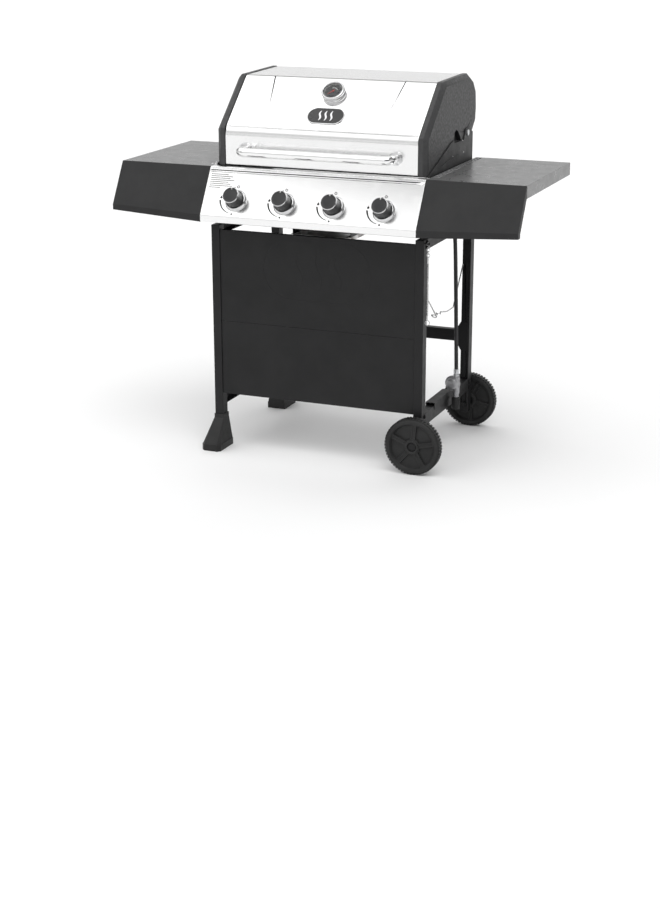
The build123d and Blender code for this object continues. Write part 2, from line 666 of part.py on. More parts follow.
def grease_cup():
    """A drawn cup whose rim rests on the tray's floor."""
    middle = (TRAY_FRONT + TRAY_BACK) / 2
    floor_z = TRAY_RIM_Z - TRAY_DEPTH + TRAY_SHEET
    r = CUP_R
    t = 0.8
    profile = [(0, -CUP_DEPTH), (r - 3, -CUP_DEPTH), (r, 0), (r + 5, 0), (r + 5, t), (r - t, t),
               (r - t - 3, t - CUP_DEPTH), (0, t - CUP_DEPTH)]
    return turned(profile, Plane((0, middle, floor_z), x_dir=(1, 0, 0), z_dir=(0, 0, 1)))


# ---------------------------------------------------------------- lid
LID_POINTS = [(LID_FRONT, SKIN_BASE_Z), LID_BEND, LID_CREST, LID_BACK_OUTLINE[0]]


def lid_skin():
    """The steel skin from the lid's front edge over the top."""
    face = strip(LID_POINTS, -LID_SHEET, {1: 26.0, 2: 9.0})
    shape = along_x(face, -LID_SKIN_HALF, LID_SKIN_HALF)
    hem = block(-LID_SKIN_HALF, LID_SKIN_HALF, LID_FRONT + LID_SHEET / 2, LID_FRONT + HEM,
                SKIN_BASE_Z, SKIN_BASE_Z + LID_SHEET)
    shape = shape + hem
    stem_hole = lid_plane(THERMOMETER_UP_SLOPE) * Cylinder(DIAL_STEM_R + 4 * GAP, 20)
    return shape - stem_hole


def lid_back():
    """The rear sheet of the lid, from the skin's back edge down to the vent gap."""
    sheet = strip(LID_BACK_OUTLINE, -LID_SHEET) - strip(LID_POINTS[2:], -LID_SHEET)
    return along_x(sheet, -LID_SKIN_HALF, LID_SKIN_HALF)


def lid_end(side):
    """A cast end cap: flat band beside the skin, bevel, side wall and the arch at the hinge."""
    outline = [(LID_FRONT, LID_BASE_Z - 40), LID_BEND, LID_CREST] + LID_BACK_OUTLINE
    outline = outline + [(LID_TAIL_Y, LID_BASE_Z - 40)]
    outline = shifted(outline, CAP_PROUD, closed=True)
    bevel = LID_HALF - LID_SKIN_HALF - CAP_FLAT
    x0 = LID_SKIN_HALF
    x1 = x0 + CAP_FLAT
    w = CAP_WALL
    inner = shifted(outline, -w, closed=True)
    top = shifted(outline, -bevel, closed=True)
    inner_top = shifted(outline, -bevel - w, closed=True)
    shell = prism(outline, x0, x1) + frustum(outline, top, x1, LID_HALF)
    hollow = prism(inner, x0 - 1, x1) + frustum(inner, inner_top, x1, LID_HALF - w)
    shell = shell - hollow
    hy, hz = HINGE
    below = [(-50, LID_BASE_Z), (LID_FRONT + 34, LID_BASE_Z), (hy - 130, hz - 19), (hy + 14, hz - 19),
             (hy + 80, hz - 3), (hy + 80, 800), (-50, 800)]
    shell = shell - prism(below, x0 - 5, LID_HALF + 5)
    arch = [(hy - 128, hz - 30), (hy - 112, hz + 14), (hy - 96, hz + 20),
            (hy - 78, hz + 12), (hy - 38, hz - 30)]
    pocket = prism(shifted(arch, w, closed=True), LID_HALF - ARCH_DEPTH - w, LID_HALF - w / 2)
    shell = shell + (pocket - prism(below, 0, LID_HALF + 5))
    shell = shell - prism(arch, LID_HALF - ARCH_DEPTH, LID_HALF + 5)
    shell = shell - rod((x0, hy, hz), (LID_HALF + 1, hy, hz), HINGE_PIN_R + FIT)
    return mirrored(shell, side)


def hinge_bolts():
    """Shoulder bolts through the side plates and the lid's end caps."""
    hy, hz = HINGE
    bolt = rod((LID_HALF - 12, hy, hz), (SIDE_OUTER, hy, hz), HINGE_PIN_R)
    bolt = bolt + rod((SIDE_OUTER, hy, hz), (SIDE_OUTER + 3.2, hy, hz), 9)
    nut = Plane((LID_HALF - 10, hy, hz), z_dir=(1, 0, 0)) * extrude(RegularPolygon(7, 6), 5)
    return [mirrored(bolt + nut, side) for side in (-1, 1)]


def handle():
    """The bent tube on the lid's front."""
    y0 = LID_FRONT
    y1 = LID_FRONT - HANDLE_STANDOFF
    points = [(-HANDLE_HALF, y0, HANDLE_Z), (-HANDLE_HALF, y1, HANDLE_Z), (HANDLE_HALF, y1, HANDLE_Z),
              (HANDLE_HALF, y0, HANDLE_Z)]
    path = FilletPolyline(*points, radius=HANDLE_BEND_R)
    section = Plane(points[0], z_dir=(0, -1, 0)) * Circle(HANDLE_R)
    return sweep(section, path=path)


def handle_flanges():
    """The stepped rings at the handle's feet."""
    rings = []
    for x in (-HANDLE_HALF, HANDLE_HALF):
        plane = Plane((x, LID_FRONT, HANDLE_Z), x_dir=(1, 0, 0), z_dir=(0, -1, 0))
        inner = HANDLE_R
        rings.append(turned([(inner, 0), (21, 0), (21, 2.5), (18, 4.5), (inner + 2, 6), (inner, 6)], plane))
    return rings


def thermometer_bezel():
    """The gauge's housing: dished rim on a round body, bored for the dial and the stem."""
    plane = lid_plane(THERMOMETER_UP_SLOPE)
    r = THERMOMETER_R
    h = THERMOMETER_H
    profile = [(DIAL_STEM_R + GAP, 0), (r - 1, 0), (r - 2, h - 6), (r, h - 4), (r - 2, h), (r - 6, h),
               (DIAL_R, h - 4), (DIAL_R, DIAL_HEIGHT), (DIAL_STEM_R + GAP, DIAL_HEIGHT)]
    return turned(profile, plane)


def thermometer_dial():
    """The dial plate with its stem, which reaches into the lid."""
    plane = lid_plane(THERMOMETER_UP_SLOPE)
    h = DIAL_HEIGHT
    profile = [(0, -DIAL_STEM), (DIAL_STEM_R, -DIAL_STEM), (DIAL_STEM_R, h), (DIAL_R, h),
               (DIAL_R, h + 1.5), (0, h + 1.5)]
    return turned(profile, plane)


def badge():
    """A plain oval plate on the lid, with a raised rim."""
    width, height, depth = BADGE_SIZE
    plate = extrude(SlotOverall(width, height), depth)
    sunk = Pos(0, 0, depth - 0.8) * extrude(SlotOverall(width - 6, height - 6), 2)
    return lid_plane(BADGE_UP_SLOPE) * (plate - sunk)


# ---------------------------------------------------------------- shelves
def shelf_top(side):
    """A folded steel shelf with skirts and a double row of vent slots beside the lid."""
    x0 = SHELF_INNER
    x1 = SHELF_HALF
    y0 = SHELF_FRONT
    y1 = SHELF_BACK
    t = SHELF_SHEET
    z0 = DECK_Z - SHELF_SKIRT
    shape = block(x0, x1, y0, y1, z0, DECK_Z) - block(x0 + t, x1 - t, y0 + t, y1 - t, z0 - 1, DECK_Z - t)
    slots = 16
    for i in range(slots):
        y = 46 + i * 25.6
        for x in (x0 + 6, x0 + 17):
            shape = shape - block(x, x + 7, y, y + 16, DECK_Z - 3, DECK_Z + 1)
    return mirrored(shape, side)


def shelf_fascia(side):
    """The moulded front of a shelf, tapering towards the grill's end."""
    inner_bend = PANEL_BEND
    outer_bend = (-FASCIA_END_REACH, DECK_Z - FASCIA_END_DROP)

    def section(bend, lip):
        foot = bend[1] - lip
        line = [(FASCIA_WALL, DECK_Z), (0, DECK_Z), bend, (bend[0], foot), (bend[0] + 10, foot)]
        return line + list(reversed(shifted(line, FASCIA_WALL)))

    shape = frustum(section(inner_bend, PANEL_LIP), section(outer_bend, FASCIA_END_LIP),
                    SHELF_INNER, SHELF_HALF)
    edge = [(0, DECK_Z), outer_bend, (outer_bend[0], outer_bend[1] - FASCIA_END_LIP)]
    wall = edge + list(reversed(shifted(edge, FASCIA_RETURN)))
    end = prism(wall, SHELF_HALF - FASCIA_WALL, SHELF_HALF)
    shelf_space = block(SHELF_HALF - 10, SHELF_HALF + 1, SHELF_FRONT, SHELF_BACK,
                        DECK_Z - SHELF_SKIRT, DECK_Z + 1)
    return mirrored(shape + (end - shelf_space), side)


def shelf_rails():
    """Flat bars between the firebox sides and the shelves."""
    bar = block(SIDE_OUTER, SHELF_INNER, FIREBOX_FRONT + 6, FIREBOX_BACK - 8,
                DECK_Z - SHELF_SKIRT, DECK_Z - 8)
    return [mirrored(bar, side) for side in (-1, 1)]


# ---------------------------------------------------------------- hose and regulator
def hose_path():
    """Straight runs joined by arcs as large as the runs allow."""
    points = [Vector(*p) for p in HOSE_ROUTE]
    radii = []
    for before, here, after in zip(points, points[1:], points[2:]):
        turn = radians((here - before).get_angle(after - here))
        shorter = min((here - before).length, (after - here).length)
        radii.append(HOSE_ARC_SHARE * shorter / tan(turn / 2))
    return FilletPolyline(*points, radius=radii), radii


def gas_hose():
    path, radii = hose_path()
    section = Plane(path @ 0, z_dir=path % 0) * Circle(HOSE_D / 2)
    tube = sweep(section, path=path)
    print("hose length", round(path.length, 1), "volume", round(tube.volume), "section x length",
          round(pi * HOSE_D ** 2 / 4 * path.length), "radii", [round(r) for r in radii])
    return tube


def regulator():
    """The cast regulator: ferrule, upright body, round diaphragm housing, vent and tail."""
    x, y, z = REGULATOR
    up = Plane((x, y, z), x_dir=(1, 0, 0), z_dir=(0, 0, 1))
    ferrule = turned([(0, -20), (9, -20), (9, -15), (8, -13), (8, 0), (0, 0)], up)
    body = rod((x, y, z - 78), (x, y, z - 18), 11)
    hub = (x - DISC_SHIFT, y - 4, z - DISC_DROP)
    disc = Plane(hub, x_dir=(0, 0, 1), z_dir=(0, -1, 0))
    r = DISC_R
    housing = turned([(0, -16), (r - 10, -16), (r - 5, -4), (r, -4), (r, 2), (r - 5, 4),
                      (r - 9, 12), (0, 12)], disc)
    vent = rod((hub[0], y + 8, hub[2]), (hub[0], y + 18, hub[2]), 7)
    tail = rod((x, y, z - 104), (x, y, z - 76), TAIL_R)
    return ferrule + body + housing + vent + tail


def regulator_nut():
    """The hand nut that joins the regulator to a cylinder, turning freely on the tail."""
    x, y, z = REGULATOR
    down = Plane((x, y, z), x_dir=(1, 0, 0), z_dir=(0, 0, 1))
    bore = TAIL_R + FIT
    nut = turned([(bore, -86), (NUT_R - 2, -86), (NUT_R, -89), (NUT_R, -122), (NUT_R - 1, -124),
                  (NUT_THREAD_R, -124), (NUT_THREAD_R, -108), (bore, -105)], down)
    for i in range(12):
        nut = nut - down * (Rot(0, 0, i * 30) * (Pos(NUT_R, 0, -106) * Box(2, 2, 28)))
    return nut


# ---------------------------------------------------------------- wire forms
def wire(points, diameter, radius):
    path = FilletPolyline(*points, radius=radius)
    section = Plane(path @ 0, z_dir=path % 0) * Circle(diameter / 2)
    return sweep(section, path=path)


def tank_wire():
    """The bail that keeps a gas cylinder in place, hung between two right legs."""
    x = WIRE_X
    y0 = LEG_FRONT_Y + LEG_D - LEG_WALL
    y1 = LEG_BACK_Y - LEG_D + LEG_WALL
    low = WIRE_LOW_Z
    points = [(x, y0, WIRE_Z), (x, y0 + 18, WIRE_Z), (x - 4, 199, low + 6), (x - 16, 150, low + 28),
              (x - 7, 280, low), (x - 17, 193, low + 26), (x - 6, 288, low + 9), (x, 332, low + 13),
              (x, y1 - 14, WIRE_Z), (x, y1, WIRE_Z)]
    return wire(points, WIRE_D, WIRE_BEND_R)


def lighting_rod():
    """A match holder: chain links from the leg's stud, a rod with an eye and an end ring."""
    y, z = ROD_HOOK
    x = LEG_HALF + ROD_STANDOFF
    first = z - (LINK_R - LINK_WIRE_R - STUD_R - GAP)
    pitch = 2 * (LINK_R - LINK_WIRE_R)
    count = 6

    def ring(height, across, radius=LINK_R, wire_radius=LINK_WIRE_R):
        x_dir, z_dir = ((1, 0, 0), (0, 1, 0)) if across else ((0, 1, 0), (1, 0, 0))
        return Plane((x, y, height), x_dir=x_dir, z_dir=z_dir) * Torus(radius, wire_radius)

    links = [ring(first - i * pitch, i % 2 == 1) for i in range(count - 1)]
    eye = first - (count - 1) * pitch
    tip = z - ROD_DROP
    shaft = rod((x, y, tip + 12), (x, y, eye - LINK_R), 3.0)
    return links + [shaft + ring(eye, True) + ring(tip + 6, False, 7, 1)]


def rod_stud():
    """The stud on the leg that the lighting rod hangs from."""
    y, z = ROD_HOOK
    shank = rod((LEG_HALF, y, z), (LEG_HALF + ROD_STANDOFF + 5, y, z), STUD_R)
    return shank + rod((LEG_HALF + ROD_STANDOFF + 4, y, z), (LEG_HALF + ROD_STANDOFF + 6, y, z), LINK_R + 1)


# ---------------------------------------------------------------- assembly
def build_nodes():
    nodes = {}
    legs = {"front": (LEG_FRONT_Y, FOOT_FLOOR), "rear": (LEG_BACK_Y - LEG_D, FOOT_FLOOR)}
    for end, (y0, bottom) in legs.items():
        nodes[f"leg_{end}_left"] = leg(-1, y0, bottom)
        nodes[f"leg_{end}_right"] = leg(1, y0, WHEEL_R - 26)
    nodes["front_panel_upper"] = front_panel(FRONT_SEAM_Z + 0.2, FRONT_TOP_Z)
    nodes["front_panel_lower"] = front_panel(FRONT_BOTTOM_Z, FRONT_SEAM_Z - 0.2)
    for name, side in (("left", -1), ("right", 1)):
        nodes[f"lower_side_bar_{name}"] = channel_bar(SIDE_BAR_Z, SIDE_BAR_H, side)
        nodes[f"upper_side_rail_{name}"] = channel_bar(LEG_TOP_Z - UPPER_RAIL_H, UPPER_RAIL_H, side)
        nodes[f"firebox_side_{name}"] = side_plate(side)
        nodes[f"cooking_grate_{name}"] = grate(side)
        nodes[f"lid_end_{name}"] = lid_end(side)
        nodes[f"shelf_top_{name}"] = shelf_top(side)
        nodes[f"shelf_fascia_{name}"] = shelf_fascia(side)
    nodes["rear_cross_bar"] = rear_cross_bar()
    nodes["foot_front"] = foot(LEG_FRONT_Y, -1)
    nodes["foot_rear"] = foot(LEG_BACK_Y - LEG_D, 1)
    nodes["wheel_front"] = wheel(WHEEL_FRONT_Y)
    nodes["wheel_rear"] = mirror(wheel(-WHEEL_REAR_Y - WHEEL_W), about=Plane.XZ)
    nodes["wheel_axles"] = wheel_axles()
    nodes["tank_bracket"] = tank_bracket()
    nodes["frame_bolts"] = frame_bolts() + [rod_stud()]
    nodes["firebox_pan"] = firebox_pan()
    nodes["heat_tents"] = heat_tents()
    nodes["burners"] = burners()
    nodes["warming_rack"] = warming_rack()
    nodes["manifold"] = manifold()
    nodes["gas_valves"] = gas_valves()
    nodes["grease_tray"] = grease_tray()
    nodes["grease_cup"] = grease_cup()
    nodes["control_panel"] = control_panel()
    nodes["knob_bezels"] = knob_bezels()
    for i, x in enumerate(KNOB_X, start=1):
        nodes[f"valve_stem_{i}"] = stem(x)
        nodes[f"knob_{i}"] = knob(x)
    nodes["lid_skin"] = lid_skin()
    nodes["lid_back"] = lid_back()
    nodes["handle"] = handle()
    nodes["handle_flanges"] = handle_flanges()
    nodes["thermometer_bezel"] = thermometer_bezel()
    nodes["thermometer_dial"] = thermometer_dial()
    nodes["badge"] = badge()
    nodes["hinge_bolts"] = hinge_bolts()
    nodes["shelf_rails"] = shelf_rails()
    nodes["gas_hose"] = gas_hose()
    nodes["regulator"] = regulator()
    nodes["regulator_nut"] = regulator_nut()
    nodes["tank_wire"] = tank_wire()
    nodes["lighting_rod"] = lighting_rod()
    return nodes


def front_reach():
    """The most forward point: the lower edge of a knob's face."""
    y, _ = slope_point(KNOB_DOWN_SLOPE + KNOB_FACE_R, KNOB_TOP_H)
    return y


def main():
    middle = (front_reach() + LEG_BACK_Y + FOOT_FAR) / 2
    print("shift in y", round(-middle, 4))
    os.makedirs("parts", exist_ok=True)
    for name, shape in build_nodes().items():
        solids = []
        for piece in shape if isinstance(shape, list) else [shape]:
            solids += piece.solids()
        moved = [solid.moved(Location((0, -middle, 0))) for solid in solids]
        node = moved[0] if len(moved) == 1 else Compound(children=moved)
        export_step(node, f"parts/{name}.step")


main()
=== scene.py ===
import json
from math import ceil, cos, pi, radians, sin, tan

import bmesh
import bpy
from mathutils import Matrix, Vector


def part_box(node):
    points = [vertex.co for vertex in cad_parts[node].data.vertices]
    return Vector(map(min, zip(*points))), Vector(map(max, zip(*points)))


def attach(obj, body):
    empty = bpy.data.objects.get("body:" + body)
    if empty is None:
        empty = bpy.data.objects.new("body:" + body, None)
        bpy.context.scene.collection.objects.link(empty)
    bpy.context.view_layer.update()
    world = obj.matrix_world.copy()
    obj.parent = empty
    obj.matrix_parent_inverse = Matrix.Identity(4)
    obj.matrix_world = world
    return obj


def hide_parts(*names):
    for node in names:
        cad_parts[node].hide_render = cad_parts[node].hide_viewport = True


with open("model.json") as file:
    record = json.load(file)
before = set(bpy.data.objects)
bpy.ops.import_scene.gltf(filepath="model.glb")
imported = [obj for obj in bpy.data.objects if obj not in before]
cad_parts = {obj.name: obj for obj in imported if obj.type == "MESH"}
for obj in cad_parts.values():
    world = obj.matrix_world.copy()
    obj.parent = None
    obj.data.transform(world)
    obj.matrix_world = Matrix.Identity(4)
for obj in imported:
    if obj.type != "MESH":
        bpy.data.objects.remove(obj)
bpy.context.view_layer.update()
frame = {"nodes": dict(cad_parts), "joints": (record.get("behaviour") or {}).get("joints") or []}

# Gas barbecue grill.  Metres, in the frame of the CAD model: x to the right of someone who
# faces the knobs, y from the knobs to the back, z up from the ground.


# ---------------------------------------------------------------- places taken from the frame
def joint(name):
    return next(j for j in frame["joints"] if j["name"] == name)


def facing(origin, axis, across=(1, 0, 0)):
    """The matrix of a place whose z is the axis and whose x is across."""
    z = Vector(axis).normalized()
    y = z.cross(Vector(across)).normalized()
    x = y.cross(z)
    matrix = Matrix((x, y, z)).transposed().to_4x4()
    matrix.translation = Vector(origin)
    return matrix


def knob_place(number):
    """Where a knob's axis meets the panel, its z facing out."""
    turn = joint(f"knob_{number}_turn")
    return facing(turn["pos_m"], turn["axis"])


# ---------------------------------------------------------------- mesh helpers
def linked(name, data):
    piece = bpy.data.objects.new(name, data)
    bpy.context.scene.collection.objects.link(piece)
    return piece


def mesh_piece(name, bm, sharp=38.0, orient=True):
    """A smooth-shaded object made from a bmesh, with edges above the sharp angle kept crisp."""
    bmesh.ops.remove_doubles(bm, verts=bm.verts, dist=1e-6)
    if orient:
        bmesh.ops.recalc_face_normals(bm, faces=bm.faces)
    mesh = bpy.data.meshes.new(name)
    bm.to_mesh(mesh)
    bm.free()
    mesh.polygons.foreach_set("use_smooth", [True] * len(mesh.polygons))
    mesh.set_sharp_from_angle(angle=radians(sharp))
    return linked(name, mesh)


def spin(bm, profile, place, steps=96, start=0.0, sweep=2 * pi, loop=False, bend=None):
    """Turns an outline of (radius, height) points about the place's z axis.  loop joins its
    last point to its first; bend(radius, height, angle) may move each point."""
    whole = sweep > 2 * pi - 1e-6
    rings = []
    for i in range(steps if whole else steps + 1):
        angle = start + sweep * i / steps
        ring = []
        for radius, height in profile:
            r, h = bend(radius, height, angle) if bend else (radius, height)
            ring.append(bm.verts.new(place @ Vector((r * cos(angle), r * sin(angle), h))))
        rings.append(ring)
    count = len(profile)
    pairs = count if loop else count - 1
    for i in range(len(rings) if whole else len(rings) - 1):
        here, there = rings[i], rings[(i + 1) % len(rings)]
        for j in range(pairs):
            k = (j + 1) % count
            corners = [here[j], there[j], there[k], here[k]]
            if profile[j][0] < 1e-9:
                corners.pop(1)
            elif profile[k][0] < 1e-9:
                corners.pop(2)
            bm.faces.new(corners)
    if not whole and loop:
        bm.faces.new(rings[0])
        bm.faces.new(rings[-1])


def stack(bm, place, levels, loop=False):
    """Joins (outline, height) levels, whose outlines have as many points each.  Both ends are
    closed, or with loop the last level is joined to the first."""
    rings = [[bm.verts.new(place @ Vector((x, y, z))) for x, y in outline] for outline, z in levels]
    for below, above in zip(rings, rings[1:] + (rings[:1] if loop else [])):
        for i in range(len(below)):
            k = (i + 1) % len(below)
            bm.faces.new((below[i], below[k], above[k], above[i]))
    if not loop:
        bm.faces.new(list(reversed(rings[0])))
        bm.faces.new(rings[-1])


def slab(bm, place, outline, thickness):
    stack(bm, place, [(outline, 0), (outline, thickness)])


def mm(*points):
    """An outline, such as a turned part's (radius, height) points, given in millimetres."""
    return [(x / 1000, y / 1000) for x, y in points]


def rectangle(width, depth):
    x, y = width / 2, depth / 2
    return [(-x, -y), (x, -y), (x, y), (-x, y)]


def stadium(width, height, inset=0.0, steps=24):
    """An outline with straight long sides and half-round ends."""
    r = height / 2 - inset
    straight = (width - height) / 2
    points = []
    for side, first in ((1, -pi / 2), (-1, pi / 2)):
        for i in range(steps + 1):
            angle = first + pi * i / steps
            points.append((side * straight + r * cos(angle), r * sin(angle)))
    return points


def circle(radius, steps):
    return [(radius * cos(2 * pi * i / steps), radius * sin(2 * pi * i / steps)) for i in range(steps)]


def smooth(value, low, high):
    """0 below low, 1 above high and a smooth step between them."""
    t = max(0.0, min(1.0, (value - low) / (high - low)))
    return t * t * (3 - 2 * t)


def rounded(points, radii, steps=6):
    """A line through points, with an arc of the given radius at each inner one."""
    points = [Vector(p) for p in points]
    path = [points[0]]
    for before, here, after, radius in zip(points, points[1:], points[2:], radii):
        a = (before - here).normalized()
        b = (after - here).normalized()
        half = a.angle(b) / 2
        centre = here + (a + b).normalized() * radius / sin(half)
        first = here + a * radius / tan(half)
        last = here + b * radius / tan(half)
        for i in range(steps + 1):
            arm = (first - centre).lerp(last - centre, i / steps)
            path.append(centre + arm.normalized() * radius)
    path.append(points[-1])
    return path


def finer(path, step):
    """The same line with no run longer than step."""
    result = [path[0]]
    for a, b in zip(path, path[1:]):
        count = max(1, ceil((b - a).length / step))
        result += [a.lerp(b, i / count) for i in range(1, count + 1)]
    return result


def sheet_normals(path):
    """At each point of a (y, z) line, the unit normal on its left."""
    normals = []
    for i in range(len(path)):
        run = path[min(i + 1, len(path) - 1)] - path[max(i - 1, 0)]
        normals.append(Vector((-run.y, run.x)).normalized())
    return normals


def pressed_sheet(name, rows, shade_weights, sharp, thickness):
    """A sheet through rows of points, thick on the side away from row cross column.  How strongly painted
    shade darkens each point, in and beside sharp creases, is kept on the mesh for the brushed steel to draw."""
    bm = bmesh.new()
    shade_layer = bm.verts.layers.float.new("crease")
    made = [[bm.verts.new(p) for p in row] for row in rows]
    # painted shade: each point's weight, kept on the mesh, says how near black the steel is drawn there
    for vert, depth in zip(bm.verts, shade_weights):
        vert[shade_layer] = depth
    for low, high in zip(made, made[1:]):
        for i in range(len(low) - 1):
            bm.faces.new((low[i], low[i + 1], high[i + 1], high[i]))
    sheet = mesh_piece(name, bm, sharp, orient=False)
    solid = sheet.modifiers.new("thickness", "SOLIDIFY")
    solid.thickness = thickness
    solid.offset = -1
    solid.use_even_offset = True
    return sheet


def soften(piece, width, angle=30.0, steps=2):
    """Rounds the edges of a piece: welds it, bevels the edges above the angle, keeps flats flat."""
    weld = piece.modifiers.new("weld", "WELD")
    weld.merge_threshold = 0.00002
    bevel = piece.modifiers.new("rounding", "BEVEL")
    bevel.width = width
    bevel.segments = steps
    bevel.limit_method = "ANGLE"
    bevel.angle_limit = radians(angle)
    bevel.use_clamp_overlap = True
    flats = piece.modifiers.new("flats", "WEIGHTED_NORMAL")
    flats.weight = 80
    return piece


def tube_curve(name, radius, sides, caps):
    data = bpy.data.curves.new(name, "CURVE")
    data.dimensions = "3D"
    data.bevel_depth = radius
    data.bevel_resolution = sides
    data.use_fill_caps = caps
    return data


def wire_piece(name, runs, radius, sides=6, closed=False):
    """One or more lines of points as round wire."""
    data = tube_curve(name, radius, sides, not closed)
    for points in runs:
        spline = data.splines.new("POLY")
        spline.points.add(len(points) - 1)
        for target, point in zip(spline.points, points):
            target.co = (*point, 1.0)
        spline.use_cyclic_u = closed
        spline.use_smooth = True
    return linked(name, data)


def settled(piece, body, slot, material, *nodes):
    """Gives a piece its finish, the body it rides on and the CAD nodes that it stands for."""
    piece.data.materials.clear()
    piece.data.materials.append(material)
    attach(piece, body)
    if nodes:
        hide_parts(*nodes)
    return piece


# ---------------------------------------------------------------- material helpers
def grey(tone):
    return tone, tone, tone


def full(colour):
    """A colour with its alpha; a node's output stays as it is."""
    return colour if isinstance(colour, bpy.types.NodeSocket) else (*colour, 1.0)


class Finish:
    """A procedural material: a Principled shader, and the nodes that drive it."""

    def __init__(self, name, roughness, metallic=0.0, **sockets):
        self.material = bpy.data.materials.new(name)
        self.material.use_nodes = True
        self.tree = self.material.node_tree
        self.shader = self.tree.nodes["Principled BSDF"]
        self.shader.inputs["Roughness"].default_value = roughness
        self.shader.inputs["Metallic"].default_value = metallic
        for socket, value in sockets.items():
            self.shader.inputs[socket.replace("_", " ")].default_value = value
        self.place = self.tree.nodes.new("ShaderNodeTexCoord").outputs["Object"]

    def link(self, value, socket):
        if isinstance(value, bpy.types.NodeSocket):
            self.tree.links.new(value, socket)
        else:
            socket.default_value = value

    def node(self, kind, **inputs):
        """A new node; each input is given a value, or joined to another node's output."""
        node = self.tree.nodes.new("ShaderNode" + kind)
        for socket, value in inputs.items():
            self.link(value, node.inputs[socket.replace("_", " ")])
        return node

    def noise(self, scale, detail=3.0, stretch=(1, 1, 1), roughness=0.5):
        """Noise from 0 to 1; scale is in cycles per metre."""
        place = self.node("Mapping", Scale=stretch, Vector=self.place).outputs["Vector"]
        node = self.node("TexNoise", Scale=scale, Detail=detail, Roughness=roughness, Vector=place)
        return node.outputs["Fac"]

    def cells(self, scale):
        return self.node("TexVoronoi", Scale=scale, Vector=self.place).outputs["Distance"]

    def span(self, value, low, high, to_low=0.0, to_high=1.0):
        node = self.node("MapRange", Value=value, From_Min=low, From_Max=high, To_Min=to_low, To_Max=to_high)
        return node.outputs["Result"]

    def maths(self, operation, a, b):
        node = self.node("Math")
        node.operation = operation
        self.link(a, node.inputs[0])
        self.link(b, node.inputs[1])
        return node.outputs["Value"]

    def mix(self, factor, a, b):
        node = self.node("Mix")
        node.data_type = "RGBA"
        self.link(factor, node.inputs[0])
        self.link(full(a), node.inputs[6])
        self.link(full(b), node.inputs[7])
        return node.outputs[2]

    def mesh_value(self, name):
        """A value kept on the mesh's vertices; 0 where a mesh has none of that name."""
        node = self.node("Attribute")
        node.attribute_name = name
        return node.outputs["Fac"]

    def edges(self, reach=0.0015):
        """Edges, where a coat wears: there the normal turns away from the one rounded over reach."""
        bevel = self.node("Bevel", Radius=reach)
        bevel.samples = 4
        dot = self.node("VectorMath")
        dot.operation = "DOT_PRODUCT"
        self.link(bevel.outputs["Normal"], dot.inputs[0])
        self.link(self.node("NewGeometry").outputs["True Normal"], dot.inputs[1])
        return self.span(dot.outputs["Value"], 0.985, 0.85)

    def colour(self, value):
        self.link(full(value), self.shader.inputs["Base Color"])

    def rough(self, value):
        self.link(value, self.shader.inputs["Roughness"])

    def bump(self, *layers):
        """Relief from (height, depth in metres) layers, one over the other."""
        normal = None
        for height, depth in layers:
            node = self.node("Bump", Distance=depth, Height=height)
            if normal:
                self.link(normal, node.inputs["Normal"])
            normal = node.outputs["Normal"]
        self.link(normal, self.shader.inputs["Normal"])


def powder_coat(name, dark, light, roughness=0.42, specular=0.35, grain=0.00006):
    """Baked-on powder: fine orange peel, slight mottling and a little wear on the edges."""
    f = Finish(name, roughness, Specular_IOR_Level=specular)
    mottle = f.noise(9.0, 4.0)
    peel = f.noise(900.0, 2.0)
    worn = f.maths("MULTIPLY", f.edges(), f.span(f.noise(60.0, 5.0), 0.5, 0.66))
    bare = tuple(min(1.0, c * 3 + 0.02) for c in light)
    f.colour(f.mix(worn, f.mix(f.span(mottle, 0.35, 0.65), dark, light), bare))
    f.rough(f.span(f.noise(34.0, 4.0), 0.3, 0.7, roughness - 0.05, roughness + 0.07))
    f.bump((peel, grain), (f.noise(240.0, 2.0), grain * 1.5))
    return f.material


def moulded(name, dark, light, roughness=0.5, specular=0.35, grain=0.00005, scale=1400.0):
    """Moulded plastic with a spark-eroded grain, rubbed smoother on its edges."""
    f = Finish(name, roughness, Specular_IOR_Level=specular)
    mottle = f.span(f.noise(14.0, 4.0), 0.35, 0.65)
    f.colour(f.mix(mottle, dark, light))
    rubbed = f.maths("MULTIPLY", f.edges(), 0.12)
    dull = f.span(f.noise(50.0, 3.0), 0.3, 0.7, roughness - 0.04, roughness + 0.06)
    f.rough(f.maths("SUBTRACT", dull, rubbed))
    f.bump((f.cells(scale), grain))
    return f.material


def brushed(name, dark, light, roughness=0.24, along=(1, 60, 60), depth=0.000012, fine=260.0):
    """Brushed stainless steel: fine lines along one direction, cloudy tone, faint finger marks and painted
    shade in the creases that the mesh marks.
    """
    f = Finish(name, roughness, metallic=1.0)
    lines = f.noise(fine / 10, 6.0, along, 0.7)
    clouds = f.noise(4.0, 4.0)
    share = f.maths("ADD", f.maths("MULTIPLY", lines, 0.55), f.maths("MULTIPLY", clouds, 0.45))
    # painted shade: where the mesh's crease value is high, the steel's colour goes to near black, drawing
    # dark lines along creases and groove walls
    f.colour(f.mix(f.mesh_value("crease"), f.mix(share, dark, light), grey(0.015)))
    marks = f.span(f.noise(22.0, 5.0), 0.56, 0.74, 0.0, 0.06)
    f.rough(f.maths("ADD", f.span(lines, 0.3, 0.7, roughness - 0.04, roughness + 0.05), marks))
    f.bump((lines, depth))
    return f.material


def bright(name, dark, light, roughness=0.08, depth=0.000004):
    """Polished or plated metal with faint ripples and a touch of haze."""
    f = Finish(name, roughness, metallic=1.0)
    f.colour(f.mix(f.span(f.noise(18.0, 4.0), 0.3, 0.7), dark, light))
    f.rough(f.span(f.noise(70.0, 5.0), 0.35, 0.75, roughness, roughness + 0.09))
    f.bump((f.noise(160.0, 2.0), depth))
    return f.material


